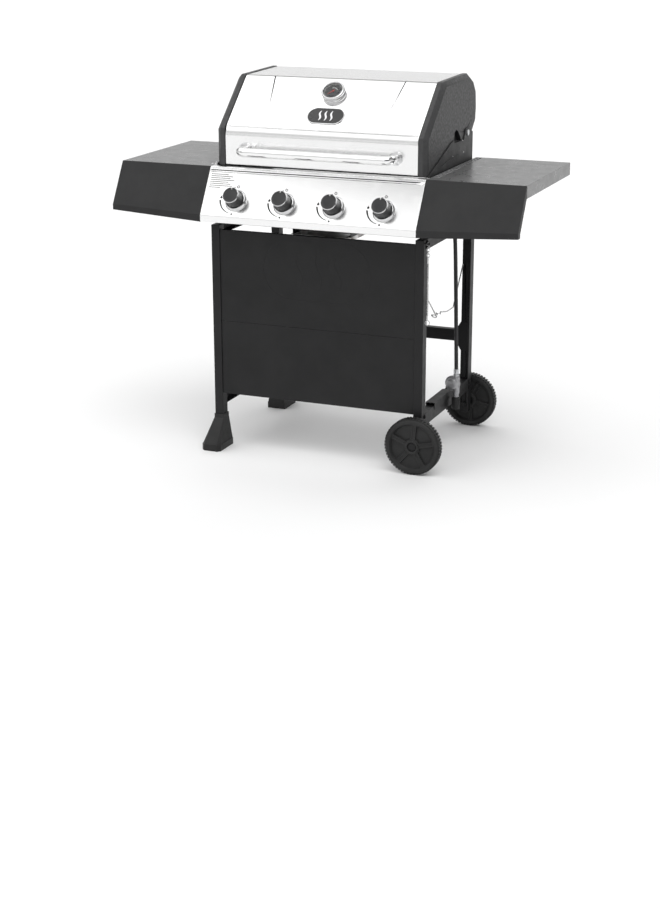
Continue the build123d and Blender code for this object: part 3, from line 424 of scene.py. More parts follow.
def cast_surface(name, dark, light, roughness=0.62, depth=0.00022, metallic=0.0):
    """Sand-cast surface: coarse grain, pits and a dull seasoned tone."""
    f = Finish(name, roughness, metallic=metallic)
    f.colour(f.mix(f.span(f.noise(55.0, 6.0), 0.35, 0.65), dark, light))
    f.rough(f.span(f.noise(120.0, 4.0), 0.3, 0.7, roughness - 0.12, roughness + 0.14))
    f.bump((f.noise(420.0, 4.0), depth), (f.cells(700.0), depth * 0.4))
    return f.material


def hot_metal(name, cool, warm, roughness=0.34):
    """Stainless steel that has been heated: straw and blue tint in soft bands, dull soot in places."""
    f = Finish(name, roughness, metallic=1.0)
    tint = f.mix(f.span(f.noise(11.0, 4.0), 0.42, 0.62), cool, warm)
    f.colour(f.mix(f.span(f.noise(17.0, 5.0), 0.56, 0.72), tint, (0.12, 0.1, 0.09)))
    f.rough(f.span(f.noise(30.0, 5.0), 0.3, 0.7, roughness - 0.06, roughness + 0.2))
    f.bump((f.noise(300.0, 3.0), 0.00003))
    return f.material


def rubber_finish(name):
    f = Finish(name, 0.55, Specular_IOR_Level=0.4)
    f.colour(f.mix(f.span(f.noise(40.0, 4.0), 0.35, 0.65), (0.012, 0.012, 0.013), (0.03, 0.03, 0.031)))
    f.rough(f.span(f.noise(90.0, 4.0), 0.3, 0.7, 0.46, 0.64))
    f.bump((f.noise(1500.0, 2.0), 0.00004))
    return f.material


def painted_print(name, ink, specular=0.4):
    f = Finish(name, 0.6, Specular_IOR_Level=specular)
    f.colour(f.mix(f.span(f.noise(300.0, 3.0), 0.3, 0.7), ink, tuple(c * 1.4 + 0.004 for c in ink)))
    f.bump((f.noise(2200.0, 2.0), 0.00001))
    return f.material


def clear_glass(name):
    f = Finish(name, 0.02, Transmission_Weight=1.0, IOR=1.2)
    f.colour(f.mix(f.span(f.noise(60.0, 3.0), 0.3, 0.7), (0.96, 0.97, 0.97), grey(1.0)))
    f.bump((f.noise(90.0, 2.0), 0.000002))
    return f.material


COAT = powder_coat("black_powder_coat", (0.0115, 0.0115, 0.012), (0.0145, 0.0145, 0.015), 0.45, 0.22)
# painted reflection: the shelf tops' black powder coat is given a mid grey colour for the bright studio
# reflected on them; its grain and edge wear are its own
SHELF_COAT_PAINTED_REFLECTION = powder_coat("shelf_coat_painted_reflection", (0.098, 0.098, 0.099), (0.112, 0.112, 0.113), 0.3, 1.0)
COAT_HOT = powder_coat("black_heat_enamel", (0.02, 0.02, 0.021), grey(0.027), 0.5, 0.4)
SIGN_COAT = moulded("sign_enamel", (0.0125, 0.0125, 0.013), (0.0145, 0.0145, 0.015), 0.47, 0.22)
# painted light: the end caps' black enamel is given a lighter colour than the other black coats, to make up
# for the dim light on their right-facing sides
CAP_PAINTED_LIGHT = cast_surface("hood_cap_enamel_painted_light", (0.03, 0.03, 0.031), (0.036, 0.036, 0.037), 0.5, 0.00003)
PLASTIC = moulded("fascia_plastic", (0.0145, 0.0145, 0.015), (0.018, 0.018, 0.0185), 0.5, 0.3)
FOOT_PLASTIC = moulded("foot_plastic", grey(0.012), grey(0.02), 0.5, 0.3)
WHEEL_PLASTIC = moulded("wheel_plastic", grey(0.013), grey(0.022), 0.52, 0.3)
KNOB_PLASTIC = moulded("knob_plastic", (0.012, 0.012, 0.013), (0.02, 0.02, 0.021), 0.34, 0.45, 0.00002,
                       2200.0)
NUT_PLASTIC = moulded("hand_nut_plastic", grey(0.012), grey(0.02), 0.5, 0.3)
STEEL = brushed("brushed_stainless", grey(0.8), grey(0.92), 0.2)
STEEL_TUBE = brushed("handle_stainless", grey(0.8), grey(0.93), 0.07, (1, 50, 50), 0.000003)
CHROME = bright("chrome_plate", (0.56, 0.56, 0.57), grey(0.68), 0.05)
ZINC = bright("zinc_plate", (0.42, 0.43, 0.44), (0.6, 0.61, 0.62), 0.28, 0.00002)
WIRE = bright("bright_wire", grey(0.45), grey(0.66), 0.22, 0.00001)
IRON = cast_surface("seasoned_cast_iron", (0.012, 0.011, 0.01), (0.035, 0.032, 0.03), 0.55)
DIE_CAST = cast_surface("die_cast_grey", (0.3, 0.3, 0.31), (0.42, 0.42, 0.43), 0.42, 0.00004, 0.7)
BRASS = bright("turned_brass", (0.5, 0.34, 0.13), (0.7, 0.5, 0.22), 0.26, 0.00002)
ALUMINISED = hot_metal("aluminised_sheet", grey(0.5), (0.62, 0.61, 0.6), 0.36)
BURNT_STEEL = hot_metal("heat_tinted_steel", (0.5, 0.46, 0.4), (0.36, 0.33, 0.38), 0.3)
HOSE_RUBBER = rubber_finish("hose_rubber")
INK = painted_print("panel_ink", grey(0.004), 0.05)
GREY_INK = painted_print("notice_ink", grey(0.16), 0.05)
DIAL_DARK = painted_print("dial_print_dark", (0.03, 0.03, 0.032))
DIAL_LIGHT = painted_print("dial_print_light", (0.6, 0.6, 0.58))
NEEDLE_RED = painted_print("needle_paint", (0.5, 0.03, 0.02))
GLASS = clear_glass("gauge_glass")
BADGE_DARK = powder_coat("badge_enamel", (0.01, 0.01, 0.011), grey(0.02), 0.3, 0.5)


# ---------------------------------------------------------------- gas hose
ROW_Y = -0.2120842           # the row's place, against the measures that the hose's route is given in
HOSE_DIAMETER = 0.012
HOSE_ROUTE = [
    (0.262, -0.028, 0.742), (0.310, -0.028, 0.742), (0.352, 0.014, 0.742),
    (0.351, 0.080, 0.744), (0.352, 0.147, 0.741), (0.352, 0.194, 0.722),
    (0.3525, 0.229, 0.687), (0.353, 0.247, 0.641), (0.361, 0.252, 0.250),
]


def gas_hose():
    """One smooth cord from the manifold to the regulator, with both ends closed."""
    data = tube_curve("hose", HOSE_DIAMETER / 2, 8, True)
    spline = data.splines.new("NURBS")
    spline.points.add(len(HOSE_ROUTE) - 1)
    for target, (x, y, z) in zip(spline.points, HOSE_ROUTE):
        target.co = (x, y + ROW_Y, z, 1.0)
    spline.order_u = 3
    spline.use_endpoint_u = True
    spline.resolution_u = 16
    hose = settled(linked("hose", data), "cart", "hose_rubber", HOSE_RUBBER, "gas_hose")
    start = Vector(HOSE_ROUTE[0]) + Vector((0, ROW_Y, 0))


gas_hose()


# ---------------------------------------------------------------- finishes of the CAD nodes
def sided(*names):
    return [f"{name}_{side}" for name in names for side in ("left", "right")]


def dress(material, *nodes, width=0.0006, angle=30.0, steps=2):
    """Gives CAD nodes a material and softened edges."""
    for name in nodes:
        node = frame["nodes"][name]
        node.data.materials.clear()
        node.data.materials.append(material)
        soften(node, width, angle, steps)


dress(COAT, *sided("leg_front", "leg_rear"), width=0.0022, steps=3)
dress(COAT, "front_panel_upper", "front_panel_lower", width=0.0009)
dress(COAT, *sided("lower_side_bar", "upper_side_rail"), "rear_cross_bar", "tank_bracket", "shelf_rails")
# the shelf tops' coat carries painted reflection in its grey colour
dress(SHELF_COAT_PAINTED_REFLECTION, *sided("shelf_top"), width=0.0009)
dress(COAT_HOT, "firebox_pan", *sided("firebox_side"), "lid_back")
# the end caps' enamel carries painted light in its raised colour
dress(CAP_PAINTED_LIGHT, *sided("lid_end"), width=0.002, steps=3)
dress(PLASTIC, *sided("shelf_fascia"), width=0.0015, steps=3)
dress(FOOT_PLASTIC, "foot_front", "foot_rear", width=0.0016, steps=3)
dress(ZINC, "hinge_bolts")
dress(COAT, "wheel_axles", "frame_bolts")
dress(IRON, *sided("cooking_grate"), width=0.0012)
dress(BRASS, "gas_valves", "valve_stem_1", "valve_stem_2", "valve_stem_3", "valve_stem_4", width=0.0003)
dress(ALUMINISED, "manifold", "grease_tray", "grease_cup")
dress(NUT_PLASTIC, "regulator_nut", width=0.0004)
dress(WIRE, "warming_rack", width=0.0002)
dress(BURNT_STEEL, "burners", "heat_tents", width=0.0003)


# ---------------------------------------------------------------- control panel
PANEL_DROP = 0.1331          # from the top edge down to the front bend
PANEL_DEPTH = 0.036          # of the flat top, from front to back
PANEL_TAB = 0.012            # turned down behind the top
PANEL_RETURN = 0.014         # turned back under the front
PANEL_SHEET = 0.001
GROOVE_DOWN = 0.0098         # from the panel's top edge to the pressed groove
GROOVE_WIDTH = 0.0074
GROOVE_DEPTH = 0.0022
GROOVE_LEFT = (0.001, 0.006)  # it deepens between these distances from the panel's left edge
GROOVE_RIGHT = (0.012, 0.017)  # and from its right edge


def panel_slope():
    """The (y, z) places of the panel's front bend and of its top edge, and the way up between them."""
    low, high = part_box("control_panel")
    bend = Vector((low.y, high.z - PANEL_DROP))
    top = Vector((high.y - PANEL_DEPTH, high.z))
    return bend, top, (top - bend).normalized()


def control_panel():
    """One folded sheet, with soft bends, a pressed groove under its top edge and painted shade on the
    groove's walls.
    """
    low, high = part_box("control_panel")
    bend, top, slope = panel_slope()
    outline = [(low.y + PANEL_RETURN, low.z), (low.y, low.z), bend, top, (high.y, high.z)]
    outline.append((high.y, high.z - PANEL_TAB))
    path = rounded(outline, (0.003, 0.006, 0.003, 0.003), 5)
    groove = [top - slope * (GROOVE_DOWN + GROOVE_WIDTH * i / 10) for i in range(-1, 12)]
    place = next(i for i, p in enumerate(path) if (p - top).dot(slope) > -GROOVE_DOWN / 2 and p.y > bend.y)
    path[place:place] = reversed(groove)
    half = high.x
    columns = [-half] + [-half + end for end in GROOVE_LEFT]
    columns += [-half + 0.02 + (2 * half - 0.05) * i / 60 for i in range(61)]
    columns += [half - end for end in GROOVE_RIGHT] + [half - 0.001, half]
    columns.sort()
    rows, shade_weights = [], []
    for point, normal in zip(path, sheet_normals(path)):
        down = (top - point).dot(slope)
        across = (down - GROOVE_DOWN) / GROOVE_WIDTH
        pressed, wall_shade = 0.0, 0.0
        if point.y < top.y:
            pressed = GROOVE_DEPTH * smooth(across, 0.0, 0.25) * (1 - smooth(across, 0.75, 1.0))
            # painted shade: the groove's two walls are weighted to be drawn near black, the lower wall less
            wall_shade = 1 - smooth(min(abs(across - 0.12), abs(across - 0.88)), 0.1, 0.22)
            wall_shade *= 1.0 if across < 0.5 else 0.75
        row = []
        for x in columns:
            inside = smooth(x + half, *GROOVE_LEFT) * smooth(half - x, *GROOVE_RIGHT)
            y, z = point - normal * (pressed * inside)
            row.append((x, y, z))
            shade_weights.append(wall_shade * inside)
        rows.append(row)
    sheet = pressed_sheet("panel_sheet", rows, shade_weights, 40.0, PANEL_SHEET)
    settled(sheet, "cart", "stainless", STEEL, "control_panel")


def ring_part(bm, place, inner, outer, first, last, height, steps=40):
    """A flat arc from angle first to last, whose inner and outer radius are (start, end) pairs."""
    low, high = [], []
    for i in range(steps + 1):
        t = i / steps
        angle = first + (last - first) * t
        for (start, end), line in ((inner, low), (outer, high)):
            radius = start + (end - start) * t
            line.append((radius * cos(angle), radius * sin(angle)))
    slab(bm, place, low + list(reversed(high)), height)


MARK_HEIGHT = 0.00015
# each mark's place is its distance from the knob's axis and its angle in degrees
OFF_PLACE, OFF_RADII = (0.0440, 92), (0.0026, 0.0044)
TICK_PLACE, TICK_SIZE, TICK_TURN = (0.0425, 108), (0.0056, 0.0022), radians(15)
FLAME_PLACE, FLAME_WIDTH, FLAME_HEIGHT = (0.0505, 170), 0.0046, 0.0054
DOT_PLACE, DOT_R = (0.0432, 262), 0.0028
ARC_INNER, ARC_OUTER = (0.0490, 0.0418), (0.0542, 0.0434)
ARC_START, ARC_END = radians(181), radians(250)
FLAME = [(0.0, -1.0), (0.62, -0.72), (0.8, -0.2), (0.6, 0.3), (0.4, 0.1), (0.25, 0.6), (-0.1, 1.1),
         (-0.1, 0.5), (-0.5, 0.15), (-0.8, -0.25), (-0.62, -0.72)]


def panel_marks():
    """Printed round each knob: a ring for off, a tick, a flame, a tapering arc and a dot."""
    inner, outer = OFF_RADII
    off_ring = [(inner, 0), (outer, 0), (outer, MARK_HEIGHT), (inner, MARK_HEIGHT)]
    flame = [(x * FLAME_WIDTH, y * FLAME_HEIGHT) for x, y in FLAME]
    bm = bmesh.new()
    for i in range(1, 5):
        base = knob_place(i)

        def at(radius, degrees, turn=0.0):
            angle = radians(degrees)
            out = Matrix.Translation((radius * cos(angle), radius * sin(angle), 0))
            return base @ out @ Matrix.Rotation(turn, 4, "Z")

        spin(bm, off_ring, at(*OFF_PLACE), 24, loop=True)
        slab(bm, at(*TICK_PLACE, TICK_TURN), rectangle(*TICK_SIZE), MARK_HEIGHT)
        slab(bm, at(*FLAME_PLACE), flame, MARK_HEIGHT)
        ring_part(bm, base, ARC_INNER, ARC_OUTER, ARC_START, ARC_END, MARK_HEIGHT)
        slab(bm, at(*DOT_PLACE), circle(DOT_R, 24), MARK_HEIGHT)
    settled(mesh_piece("panel_marks", bm), "cart", "stainless", INK)


NOTICE_LINES = [0.055, 0.071, 0.064, 0.078, 0.060, 0.068, 0.074, 0.036]
NOTICE_IN = 0.009            # from the panel's left edge
NOTICE_DOWN = 0.024          # from the top edge, down the slope, to the first line
NOTICE_PITCH = 0.0060
NOTICE_LINE_WIDTH = 0.0022


def notice():
    """A block of plain ruled lines where the panel has its printed notice."""
    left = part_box("control_panel")[0].x + NOTICE_IN
    _, top, slope = panel_slope()
    bm = bmesh.new()
    for i, length in enumerate(NOTICE_LINES):
        y, z = top - slope * (NOTICE_DOWN + NOTICE_PITCH * i)
        place = facing((left + length / 2, y, z), (0, -slope.y, slope.x))
        slab(bm, place, rectangle(length, NOTICE_LINE_WIDTH), MARK_HEIGHT)
    settled(mesh_piece("panel_notice", bm), "cart", "stainless", GREY_INK)


# ---------------------------------------------------------------- knobs
RIM_GAP = radians(8)         # to each side of the pointer
GRIP_COUNT = 36
GRIP_DEPTH = 0.0004


def grips(radius, height, angle):
    """Shallow flutes round a knob's tapered side."""
    fluted = smooth(height, 0.014, 0.018) * (1 - smooth(height, 0.036, 0.040))
    return radius - GRIP_DEPTH * fluted * (0.5 + 0.5 * cos(GRIP_COUNT * angle)), height


def knobs():
    """Each knob in four pieces: fluted body, bright rim, sunk face and pointer."""
    side = mm((4.2, 4.3), (25.2, 4.3), (26, 5.1), (26, 11.5), (25.4, 13), (25.2, 16), (24.9, 20), (24.7, 26),
              (24.6, 32), (24.5, 38), (24.5, 40.8), (23.3, 41.4), (4.2, 41.4))
    rim = mm((23.3, 41), (24.4, 41.4), (24.4, 44.4), (23.5, 45.8), (23.1, 46), (22.6, 45.4), (22.3, 43.4))
    face = mm((0, 42.6), (12, 42.9), (19.5, 43.4), (22.5, 44.4), (22.9, 41.2), (0, 41.2))
    foot, tip = rectangle(0.0026, 0.0062), rectangle(0.0018, 0.0054)
    for i in range(1, 5):
        place = knob_place(i)
        body = f"knob_{i}"
        bm = bmesh.new()
        spin(bm, side, place, 216, bend=grips, loop=True)
        settled(mesh_piece(f"knob_body_{i}", bm), body, "knob_plastic", KNOB_PLASTIC, body)
        bm = bmesh.new()
        spin(bm, rim, place, 120, start=pi / 2 + RIM_GAP, sweep=2 * pi - 2 * RIM_GAP, loop=True)
        settled(mesh_piece(f"knob_rim_{i}", bm), body, "chrome", CHROME)
        bm = bmesh.new()
        spin(bm, face, place, 96)
        settled(mesh_piece(f"knob_face_{i}", bm), body, "knob_plastic", KNOB_PLASTIC)
        bm = bmesh.new()
        pointer = place @ Matrix.Translation((0, 0.0213, 0.0414))
        stack(bm, pointer, [(foot, 0), (foot, 0.0038), (tip, 0.0042)])
        settled(mesh_piece(f"knob_pointer_{i}", bm), body, "knob_plastic", DIAL_LIGHT)


def bezels():
    """The trim ring round each knob."""
    bm = bmesh.new()
    outline = mm((26.8, 0), (34.5, 0), (34.5, 1.5), (33.9, 2.8), (32.7, 5), (31.4, 6.8), (29.9, 8.2),
                 (28.6, 9), (27.4, 8.6), (26.8, 7.6))
    for i in range(1, 5):
        spin(bm, outline, knob_place(i), 128, loop=True)
    settled(mesh_piece("bezel_rings", bm, 50.0), "cart", "chrome", CHROME, "knob_bezels")


# ---------------------------------------------------------------- hood
HOOD_BEND_UP = 0.1063        # from the skin's lower edge to its front bend
CREST_BACK = 0.1575          # the front top edge, behind the skin's front face
CREST_UP = 0.2482            # and above its lower edge
TOP_BACK = 0.3847            # the back edge, measured as the crest is
TOP_UP = 0.2520
HOOD_SHEET = 0.0012
HEM = 0.005
HOOD_RADII = (0.0016, 0.050, 0.006)  # of the hem, the bend and the crest
CREASE_LOW = 0.190           # half distance between the creases where they fade out
CREASE_HIGH = 0.209          # and at the crest
CREASE_START = 0.085         # up the slope from the bend
CREASE_DEPTH = 0.0026
CREASE_HALF = 0.0022
CREST_SHADE = 0.75           # how dark the painted shade along the crest's edge is drawn, against that in the creases
CREST_FADE = (0.0012, 0.0048)  # the shading ends between these distances from the crest
CREASE_FADE = (0.0009, 0.0026)  # and from the middle of a crease
CREASE_STEPS = [0.05, 0.03, 0.018, 0.01, 0.006, 0.003, 0.0022, 0.0011, 0.0003]
CREASE_OFFSETS = [-x for x in CREASE_STEPS] + [0.0] + list(reversed(CREASE_STEPS))


def hood_line():
    """The skin's line of (y, z) points from its hem up over the crest, and its bend and crest."""
    low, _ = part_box("lid_skin")
    bend = Vector((low.y, low.z + HOOD_BEND_UP))
    crest = Vector((low.y + CREST_BACK, low.z + CREST_UP))
    outline = [(low.y + HEM, low.z), (low.y, low.z), bend, crest, (low.y + TOP_BACK, low.z + TOP_UP)]
    return rounded(outline, HOOD_RADII, 12), bend, crest


def hood_slope(up):
    """The place on the slanted face at a distance up from the bend, its z facing out."""
    _, bend, crest = hood_line()
    slope = (crest - bend).normalized()
    y, z = bend + slope * up
    return facing((0, y, z), (0, -slope.y, slope.x))


def hood_skin():
    """The steel skin with its two pressed creases, which fade out down the slanted face, and painted shade
    along the creases and the crest's edge.
    """
    path, bend, crest = hood_line()
    path = finer(path, 0.004)
    slope = (crest - bend).normalized()
    length = (crest - bend).length
    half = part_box("lid_skin")[1].x
    rows, shade_weights = [], []
    for point, normal in zip(path, sheet_normals(path)):
        up = (point - bend).dot(slope)
        share = smooth(up, CREASE_START, length - 0.01)
        if up > length:
            share = max(0.0, 1 - (up - length) / 0.012) if point.y > crest.y else 1.0
        # painted shade along the crest's edge, fading away from it
        edge = CREST_SHADE * (1 - smooth((point - crest).length, *CREST_FADE))
        climbed = max(0.0, min(1.0, (up - CREASE_START) / (length - CREASE_START)))
        line = CREASE_LOW + (CREASE_HIGH - CREASE_LOW) * climbed
        right = [line + offset for offset in CREASE_OFFSETS]
        right += [half, half - 0.004] + [half - 0.012 - 0.012 * i for i in range(3)]
        right.sort()
        between = [-right[0] + 2 * right[0] * i / 30 for i in range(1, 30)]
        columns = [-x for x in reversed(right)] + between + right
        row = []
        for x in columns:
            beyond = abs(x) - line
            groove = max(0.0, 1 - abs(beyond) / CREASE_HALF)
            y, z = point - normal * (CREASE_DEPTH * share * groove)
            row.append((x, y, z))
            # painted shade: the steel is drawn near black along the middle of each crease, more as the
            # crease deepens up the slope, and along the crest's edge
            shade_weights.append(max(edge, share ** 0.5 * (1 - smooth(abs(beyond), *CREASE_FADE))))
        rows.append(row)
    sheet = pressed_sheet("hood_sheet", rows, shade_weights, 60.0, HOOD_SHEET)
    settled(sheet, "lid", "stainless", STEEL, "lid_skin")


LIP_IN = 0.0158              # the lip's inner face, in from the end cap's outer face
LIP_THICKNESS = 0.0012
# back and up from the hinge
LIP_OUTLINE = mm((-112, -12), (-112, -29), (-104, -37), (-2, -37), (6, -29), (6, -12))


def arch_lips():
    """A lip under the closed back of the arch in each end cap."""
    _, y, z = joint("lid_hinge")["pos_m"]
    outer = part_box("lid_end_right")[1].x
    bm = bmesh.new()
    for x in (LIP_IN - outer - LIP_THICKNESS, outer - LIP_IN):
        slab(bm, facing((x, y, z), (1, 0, 0), (0, 1, 0)), LIP_OUTLINE, LIP_THICKNESS)
    settled(mesh_piece("arch_lips", bm), "lid", "steel_black_hot", CAP_PAINTED_LIGHT)


HANDLE_BEND = 0.026


def handle():
    """The bent tube, and a stepped ring where each end meets the hood."""
    low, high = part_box("handle")
    radius = (high.z - low.z) / 2
    x, z = high.x - radius, (low.z + high.z) / 2
    corners = [(-x, high.y, z), (-x, low.y + radius, z), (x, low.y + radius, z), (x, high.y, z)]
    tube = wire_piece("handle_tube", [rounded(corners, (HANDLE_BEND, HANDLE_BEND), 16)], radius, sides=16)
    settled(tube, "lid", "stainless", STEEL_TUBE, "handle")
    bm = bmesh.new()
    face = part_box("lid_skin")[0].y
    steps = mm((21, 0), (21, 1.6), (20.2, 2.4), (18.2, 2.4), (17.8, 3), (17.6, 4), (16.8, 4.6), (15.2, 4.6),
               (14.8, 5.2), (14.4, 5.8), (13.4, 6))
    steps = [(radius, 0.0), *steps, (radius, 0.0060)]
    for side in (-1, 1):
        spin(bm, steps, facing((side * x, face, z), (0, -1, 0)), 96, loop=True)
    settled(mesh_piece("handle_rings", bm), "lid", "chrome", CHROME, "handle_flanges")


GAUGE_UP = 0.152             # from the bend up the slope to its axis
DIAL_R = 0.0285
SCALE_LEVEL = 0.0113
PRINT_HEIGHT = 0.0001
GAUGE_START = radians(225)
GAUGE_SWEEP = radians(270)


def thermometer():
    """The gauge in the hood: polished case, printed dial, needle and glass."""
    place = hood_slope(GAUGE_UP)
    bm = bmesh.new()
    case = mm((4, 0), (34.6, 0), (35, 0.8), (33.8, 2), (33.6, 9.5), (34.2, 11), (35.6, 12.2), (36, 13.8),
              (35.6, 15.6), (34.2, 17.2), (32.4, 18), (30.4, 17.6), (28.9, 16), (28.7, 9.6), (4, 9.6))
    spin(bm, case, place, 128, loop=True)
    settled(mesh_piece("gauge_case", bm, 50.0), "lid", "chrome", CHROME, "thermometer_bezel")

    bm = bmesh.new()
    spin(bm, [(0.0, 0.0098), (DIAL_R, 0.0098), (DIAL_R, 0.0112), (0.0, 0.0112)], place, 96)
    stem = mm((0, -62), (2.6, -61), (3, -58), (3, 10), (0, 10))
    spin(bm, stem, place, 24)
    settled(mesh_piece("gauge_dial", bm), "lid", "dial", DIAL_DARK, "thermometer_dial")

    bm = bmesh.new()
    face = place @ Matrix.Translation((0, 0, SCALE_LEVEL))
    for i in range(25):
        length, width = (0.0042, 0.0009) if i % 4 == 0 else (0.0022, 0.0005)
        turned = face @ Matrix.Rotation(GAUGE_START - GAUGE_SWEEP * i / 24, 4, "Z")
        mark = turned @ Matrix.Translation((DIAL_R - 0.0022 - length / 2, 0, 0))
        slab(bm, mark, rectangle(length, width), PRINT_HEIGHT)
    line_inner, line_outer = DIAL_R - 0.0012, DIAL_R - 0.0007
    ring_part(bm, face, (line_inner, line_inner), (line_outer, line_outer), GAUGE_START,
              GAUGE_START - GAUGE_SWEEP, PRINT_HEIGHT, 60)
    ring_part(bm, face, (0.0120, 0.0120), (0.0136, 0.0136), radians(120), radians(20), PRINT_HEIGHT)
    settled(mesh_piece("gauge_scale", bm), "lid", "dial", DIAL_LIGHT)

    bm = bmesh.new()
    needle_turn = place @ Matrix.Rotation(GAUGE_START, 4, "Z") @ Matrix.Translation((0, 0, 0.0126))
    needle = mm((-6, -0.9), (0, -1.1), (19.5, -0.2), (19.5, 0.2), (0, 1.1), (-6, 0.9))
    slab(bm, needle_turn, needle, 0.0005)
    hub = mm((0, -2), (2.2, -2), (2.4, 0.6), (1.6, 1.4), (0, 1.7))
    spin(bm, hub, needle_turn, 32)
    settled(mesh_piece("gauge_needle", bm), "lid", "dial", NEEDLE_RED)

    bm = bmesh.new()
    pane = DIAL_R + 0.0002
    glass = [(0.0, 0.0150), (pane, 0.0146), (pane, 0.0154), (pane * 0.6, 0.0159), (0.0, 0.0161)]
    spin(bm, glass, place, 96)
    settled(mesh_piece("gauge_glass", bm), "lid", "dial", GLASS)


BADGE_UP = 0.065             # from the bend up the slope to its middle
BADGE_WIDTH = 0.118
BADGE_HEIGHT = 0.062
BADGE_DEPTH = 0.0025
BADGE_RIM = 0.0032
WAVE_COUNT = 3


def heat_waves(bm, place, pitch, rise, width, height):
    """Three rising waves, side by side."""
    for i in range(WAVE_COUNT):
        left, right = [], []
        for k in range(25):
            t = k / 24
            x = (i - (WAVE_COUNT - 1) / 2) * pitch + 0.16 * pitch * sin(2 * pi * t)
            y = (t - 0.5) * rise
            thick = width * (0.35 + 0.65 * sin(pi * t))
            left.append((x - thick / 2, y))
            right.append((x + thick / 2, y))
        slab(bm, place, right + list(reversed(left)), height)


def badge():
    """A plain oval plate with a bright rim and a heat sign."""
    place = hood_slope(BADGE_UP)
    insets = (0.0, 0.0005, 0.0007, BADGE_RIM - 0.0007, BADGE_RIM)
    outside, edge, above, within, field = [stadium(BADGE_WIDTH, BADGE_HEIGHT, inset) for inset in insets]
    bm = bmesh.new()
    stack(bm, place, [(edge, 0.0001), (edge, 0.0012), (field, 0.0012), (field, 0.0014)])
    settled(mesh_piece("badge_field", bm), "lid", "badge_plate", BADGE_DARK, "badge")
    bm = bmesh.new()
    rim = [(outside, 0.0), (outside, 0.0018), (above, BADGE_DEPTH), (within, BADGE_DEPTH), (field, 0.0018),
           (field, 0.0)]
    stack(bm, place, rim, loop=True)
    waves = place @ Matrix.Translation((0, 0, 0.0014))
    heat_waves(bm, waves, pitch=0.018, rise=0.036, width=0.006, height=0.0008)
    settled(mesh_piece("badge_rim", bm), "lid", "badge_plate", CHROME)


EMBLEM_WIDTH = 0.352
EMBLEM_HEIGHT = 0.190
EMBLEM_BAND = 0.006
EMBLEM_PROUD = 0.0004
EMBLEM_UP = 0.62             # its middle, as a share of the upper panel's height


def emblem():
    """A large raised sign on the front panel: an oval band round rising waves."""
    low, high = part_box("front_panel_upper")
    place = facing((0, low.y, low.z + EMBLEM_UP * (high.z - low.z)), (0, -1, 0))
    bm = bmesh.new()
    outer = stadium(EMBLEM_WIDTH, EMBLEM_HEIGHT)
    inner = stadium(EMBLEM_WIDTH, EMBLEM_HEIGHT, EMBLEM_BAND)
    band = [(outer, 0.0), (outer, EMBLEM_PROUD), (inner, EMBLEM_PROUD), (inner, 0.0)]
    stack(bm, place, band, loop=True)
    heat_waves(bm, place, pitch=0.062, rise=0.112, width=0.022, height=EMBLEM_PROUD)
    settled(mesh_piece("front_emblem", bm), "cart", "steel_black", SIGN_COAT)


# ---------------------------------------------------------------- wheels
WHEEL_STEPS = 400
SPOKES = 5
FIRST_SPOKE = radians(85)
TREAD_BLOCKS = 54
TREAD_BASE = 0.0842
BORE_R = 0.0062
POCKET_DEPTH = 0.0065
CHANNEL_DEPTH = 0.0016


def spoke_relief(radius, angle):
    """How far the wheel's side is sunk at a point: pockets between double-ribbed spokes."""
    near = min(abs((angle - FIRST_SPOKE - 2 * pi * i / SPOKES + pi) % (2 * pi) - pi) for i in range(SPOKES))
    beside = radius * sin(min(near, pi / 2))
    pocket = smooth(beside, 0.0072, 0.0088) * smooth(radius, 0.0235, 0.0255)
    pocket *= 1 - smooth(radius, 0.0655, 0.0680)
    channel = (1 - smooth(beside, 0.0026, 0.0036)) * smooth(radius, 0.0225, 0.0240)
    channel *= 1 - smooth(radius, 0.0655, 0.0670)
    return POCKET_DEPTH * pocket + CHANNEL_DEPTH * channel


